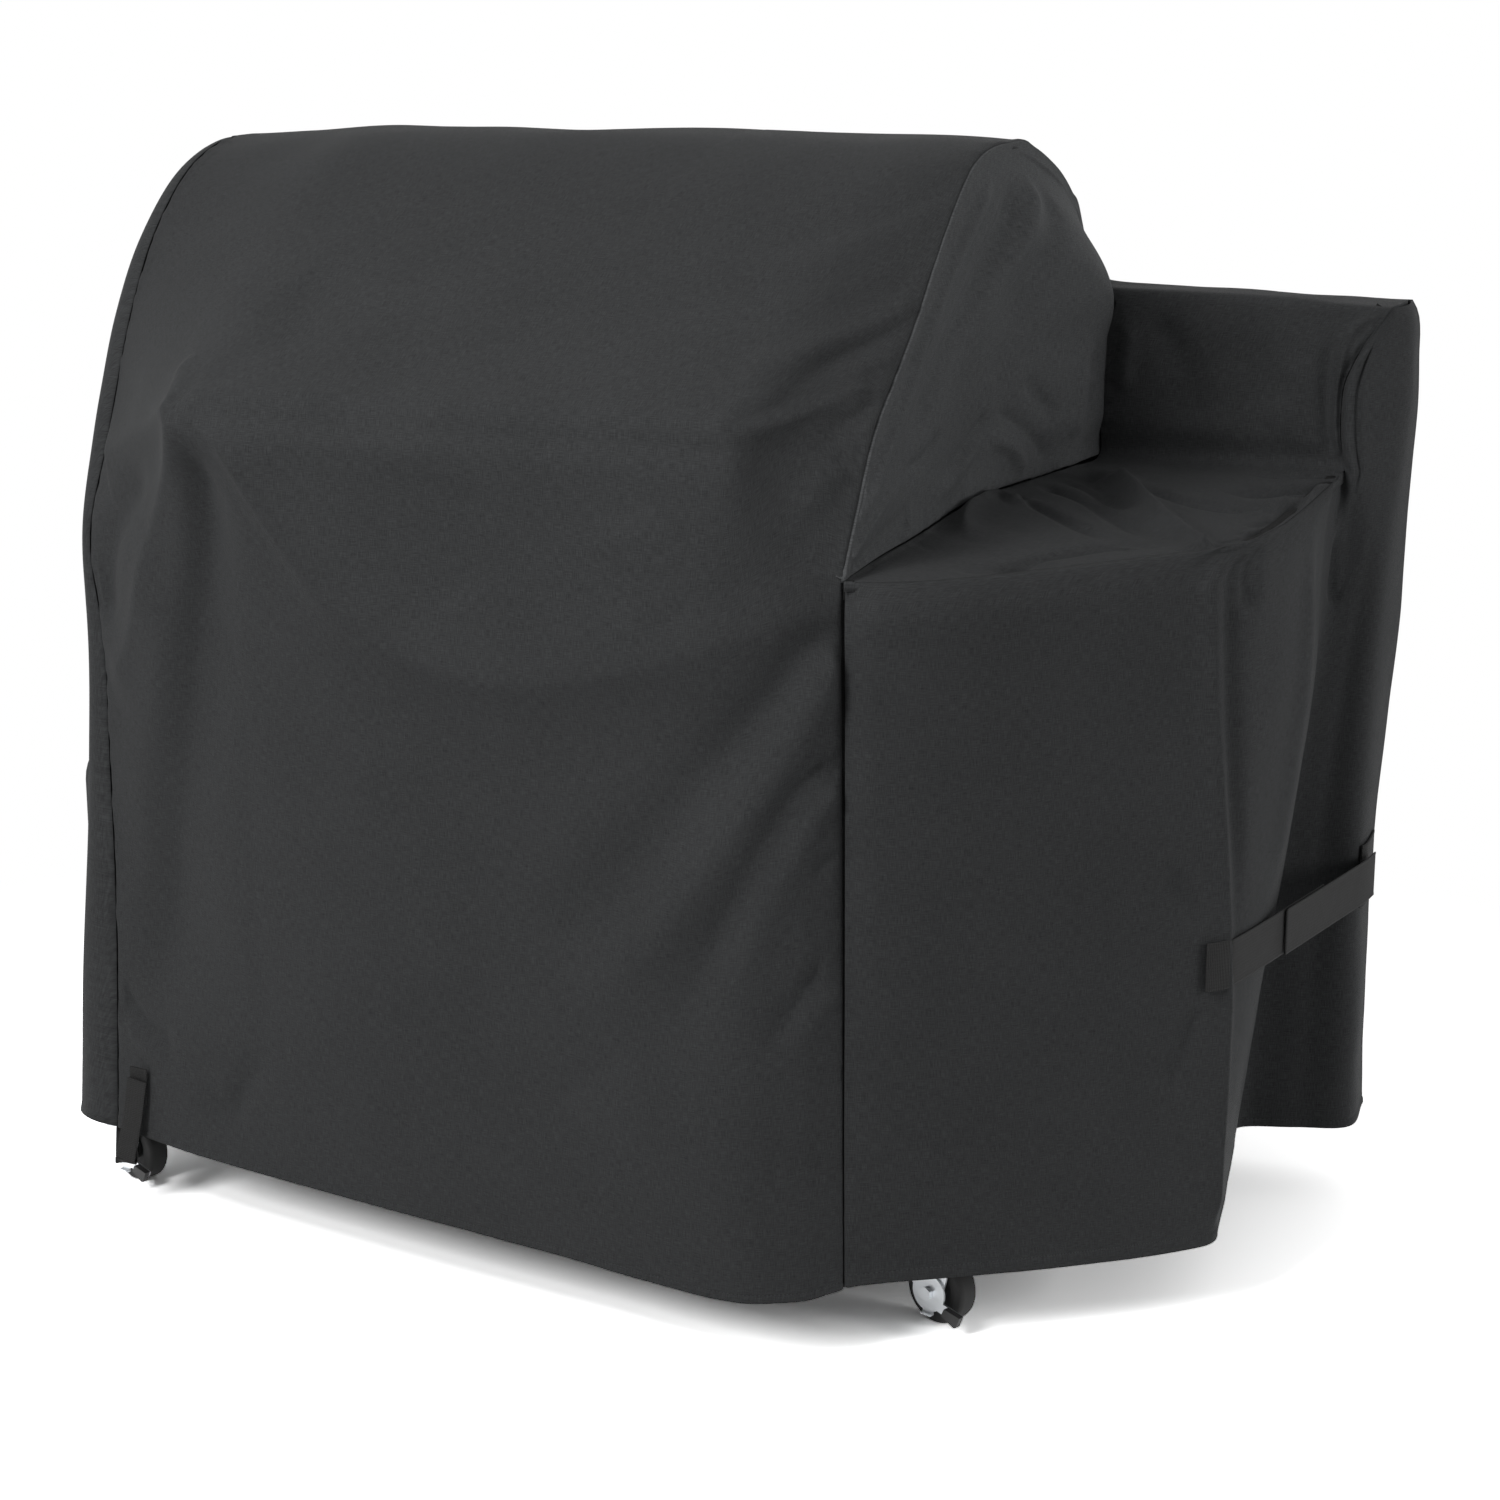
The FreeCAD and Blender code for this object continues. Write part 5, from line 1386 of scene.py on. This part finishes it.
# %% [markdown]
# Webbing has bold ribs across it: two sine waves on the strap's own measure, one along and one
# across, with some fuzz. Hook tape is a black mat of tiny hooks. Modelled one by one they would
# be thousands of meshes, so the cells of a Voronoi pattern stand for them.

# %% Webbing and hook tape
def webbing(name, level, rib):
    f = Finish(name, Specular_IOR_Level=.06, Sheen_Weight=.03)
    u, v, _ = f.parts(f.node("ShaderNodeUVMap", {"uv_map": "cloth"}))
    ribs = (v * (2 * math.pi / rib)).sine()
    offset = (u * (2 * math.pi / (rib * 1.7))).sine()
    pattern = (ribs * .75 + offset * .25).between(-1, 1)
    fuzz = f.noise(f.vector(u * 900, v * 250), 1.0, 2.0)
    broad = f.noise(f.vector(u, v), 60.0, 2.0)
    shade = pattern * .45 + fuzz * .30 + broad * .25
    f.feed(Base_Color=f.mix(shade, grey(level * .45), grey(level * 1.5)),
           Roughness=.55 + fuzz * .2)
    f.bump(pattern + fuzz * .3, .7, rib * .3)
    return f


def hook_tape(name, level):
    f = Finish(name, Specular_IOR_Level=.3)
    place = f.node("ShaderNodeUVMap", {"uv_map": "cloth"})
    hooks = f.node("ShaderNodeTexVoronoi", {"feature": "F1"}, {"Vector": place, "Scale": 900.0})
    tip = 1 - hooks.between(.0, .5)
    f.feed(Base_Color=f.mix(tip, grey(level * .4), grey(level * 2.2)), Roughness=.85 - tip * .3)
    f.bump(tip, .9, .0008)
    return f


strap_web = webbing("strap_webbing", .036, .0021)
hook_black = hook_tape("hook_tape_black", .009)
# the tape is nearly black: painted shade at the bottom of each seam
seam_tape_painted_dark = webbing("seam_tape_painted_dark", .012, .0016)
for piece in bindings:
    piece.data.materials.append(seam_tape_painted_dark.material)
for piece in (cinch, folded, rear, leg_tail, leg_loop, lead):
    piece.data.materials.append(strap_web.material)
for piece in (patch, hooks):
    piece.data.materials.append(hook_black.material)

# %% [markdown]
# ## Casters and stand
# The casters are zinc-plated steel with black rubber tyres. Zinc is pale, a little blue, with
# soft cloudy patches where the plating took differently, and fine scratches from pressing. An
# image could carry those marks, but noise on the part's own coordinates needs no unwrapping and
# suits every solid of the stand. Moulded parts get a fine pebble instead of scratches.

# %% Metal, rubber and plastic
ZINC_TINT = -.02


def metal(name, level, rough, patch_scale, scratch):
    f = Finish(name, Metallic=1.0)
    place = f.node("ShaderNodeTexCoord", output=3)
    x, y, z = f.parts(place)
    cloud = f.noise(place, patch_scale, 3.0, .6)
    lines = f.noise(f.vector(x * 900, y * 900, z * 60), 1.0, 2.0)
    shade = cloud * .6 + lines * .4
    f.feed(Base_Color=f.mix(shade, grey(level * .78, ZINC_TINT), grey(level * 1.12, ZINC_TINT)),
           Roughness=rough + (cloud - .5) * .22 + (lines - .5) * .12)
    f.bump(lines + cloud * .5, scratch, .0006)
    return f


def moulded(name, level, rough, pebble, relief=.25):
    f = Finish(name, Specular_IOR_Level=.45)
    place = f.node("ShaderNodeTexCoord", output=3)
    cloud = f.noise(place, 70.0, 3.0)
    grain = f.noise(place, 1 / pebble, 2.0)
    shade = cloud * .5 + grain * .5
    f.feed(Base_Color=f.mix(shade, grey(level * .7), grey(level * 1.4)),
           Roughness=rough + (cloud - .5) * .2)
    f.bump(grain, relief, pebble)
    return f


zinc = metal("zinc_plate", .62, .34, 60.0, .12)
stand_paint = moulded("stand_paint", .030, .45, .0012)
form_paint = moulded("form_enamel", .022, .38, .0010)
tyre_rubber = moulded("tyre_rubber", .013, .62, .0009, relief=.35)
hub_plastic = moulded("hub_plastic", .020, .48, .0007)
pedal_plastic = moulded("pedal_plastic", .016, .42, .0006)
SLOT_FINISH = {"caster_tyre": tyre_rubber, "caster_hub": hub_plastic,
               "pedal_plastic": pedal_plastic, "zinc_steel": zinc, "stand_steel": stand_paint,
               "form_steel": form_paint}
painted = 0
for entry in frame["record"]["materials"]:
    finish = SLOT_FINISH.get(entry["slot"])
    for name in (entry.get("nodes") or []) if finish else []:
        node = frame["nodes"][name]
        node.data.materials.clear()
        node.data.materials.append(finish.material)
        painted += 1
print("finished", painted, "solid parts")

# %% [markdown]
# ## Floor, world and lamps
# The floor is pale and matt. Seen by the camera it is brighter than white wherever the lamps
# reach it, so that only the soft shadow under the hem is left, and it fades to plain white with
# distance. None of this puts more light on the object, because other rays meet a plain grey
# floor. Two lamps stand in front, a little to the left and near enough for their light to
# fall off across the cover: a low one for the folds and a high one for the lid. The third
# stands on the right and lights the ends.

# %% Light the set
NEAR_FLOOR, FAR_FLOOR = 0.85, 1.7
floor_finish = Finish("floor_pale", Specular_IOR_Level=.1)
floor_finish.shader.inputs["Base Color"].default_value = grey(.50)
floor_finish.shader.inputs["Roughness"].default_value = .9
tree = floor_finish.tree
path = tree.nodes.new("ShaderNodeLightPath")
rays = [Val(floor_finish, path.outputs[name]) for name in
        ("Is Camera Ray", "Is Glossy Ray", "Is Transmission Ray")]
seen = (rays[0] + rays[1] + rays[2]).between(0, 1)
bright = floor_finish.node("ShaderNodeBsdfDiffuse", {}, {"Color": grey(4.2)})
white = floor_finish.node("ShaderNodeEmission", {}, {"Color": grey(1.0), "Strength": 1.0})
spot = floor_finish.node("ShaderNodeTexCoord", output=3)
away = floor_finish.node("ShaderNodeVectorMath", {"operation": "LENGTH"}, [spot], output=1)
shown = floor_finish.node("ShaderNodeMixShader", {},
                          [away.between(NEAR_FLOOR, FAR_FLOOR), bright, white])
plain = Val(floor_finish, floor_finish.shader.outputs[0])
both = floor_finish.node("ShaderNodeMixShader", {}, [seen, plain, shown])
tree.links.new(both.socket, tree.nodes["Material Output"].inputs["Surface"])

bm = bmesh.new()
bmesh.ops.create_grid(bm, x_segments=1, y_segments=1, size=14)
floor_mesh = bpy.data.meshes.new("floor")
bm.to_mesh(floor_mesh)
bm.free()
floor = bpy.data.objects.new("floor", floor_mesh)
floor_mesh.materials.append(floor_finish.material)
bpy.context.scene.collection.objects.link(floor)

world = bpy.data.worlds.new("studio")
bpy.context.scene.world = world
world.use_nodes = True
sky = world.node_tree
backdrop = sky.nodes["Background"]
backdrop.inputs["Color"].default_value = grey(1.0)
path = sky.nodes.new("ShaderNodeLightPath")
strength = sky.nodes.new("ShaderNodeMapRange")
seen = path.outputs["Is Camera Ray"]
for name in ("Is Glossy Ray", "Is Transmission Ray"):
    either = sky.nodes.new("ShaderNodeMath")
    either.operation = "MAXIMUM"
    sky.links.new(seen, either.inputs[0])
    sky.links.new(path.outputs[name], either.inputs[1])
    seen = either.outputs[0]
sky.links.new(seen, strength.inputs["Value"])
strength.inputs["To Min"].default_value = .25
strength.inputs["To Max"].default_value = 1.0
sky.links.new(strength.outputs[0], backdrop.inputs["Strength"])


def lamp(name, at, aim, size, watts):
    """A soft rectangular lamp that points from at to aim."""
    data = bpy.data.lights.new(name, "AREA")
    data.shape = "RECTANGLE"
    data.size, data.size_y = size
    data.energy = watts
    obj = bpy.data.objects.new(name, data)
    obj.location = at
    obj.rotation_euler = (Vector(aim) - Vector(at)).to_track_quat("-Z", "Y").to_euler()
    bpy.context.scene.collection.objects.link(obj)
    return obj


lamp("front", (-.95, -3.0, 2.0), (0, 0, .7), (.8, .8), 33)
lamp("high", (-.5, -2.5, 3.0), (0, -.2, .8), (1.0, 1.0), 36)
lamp("right", (4.0, .3, 1.2), (.4, 0, .8), (1.2, 1.2), 33)
bpy.context.scene.view_settings.view_transform = "Standard"
print("lamps set")
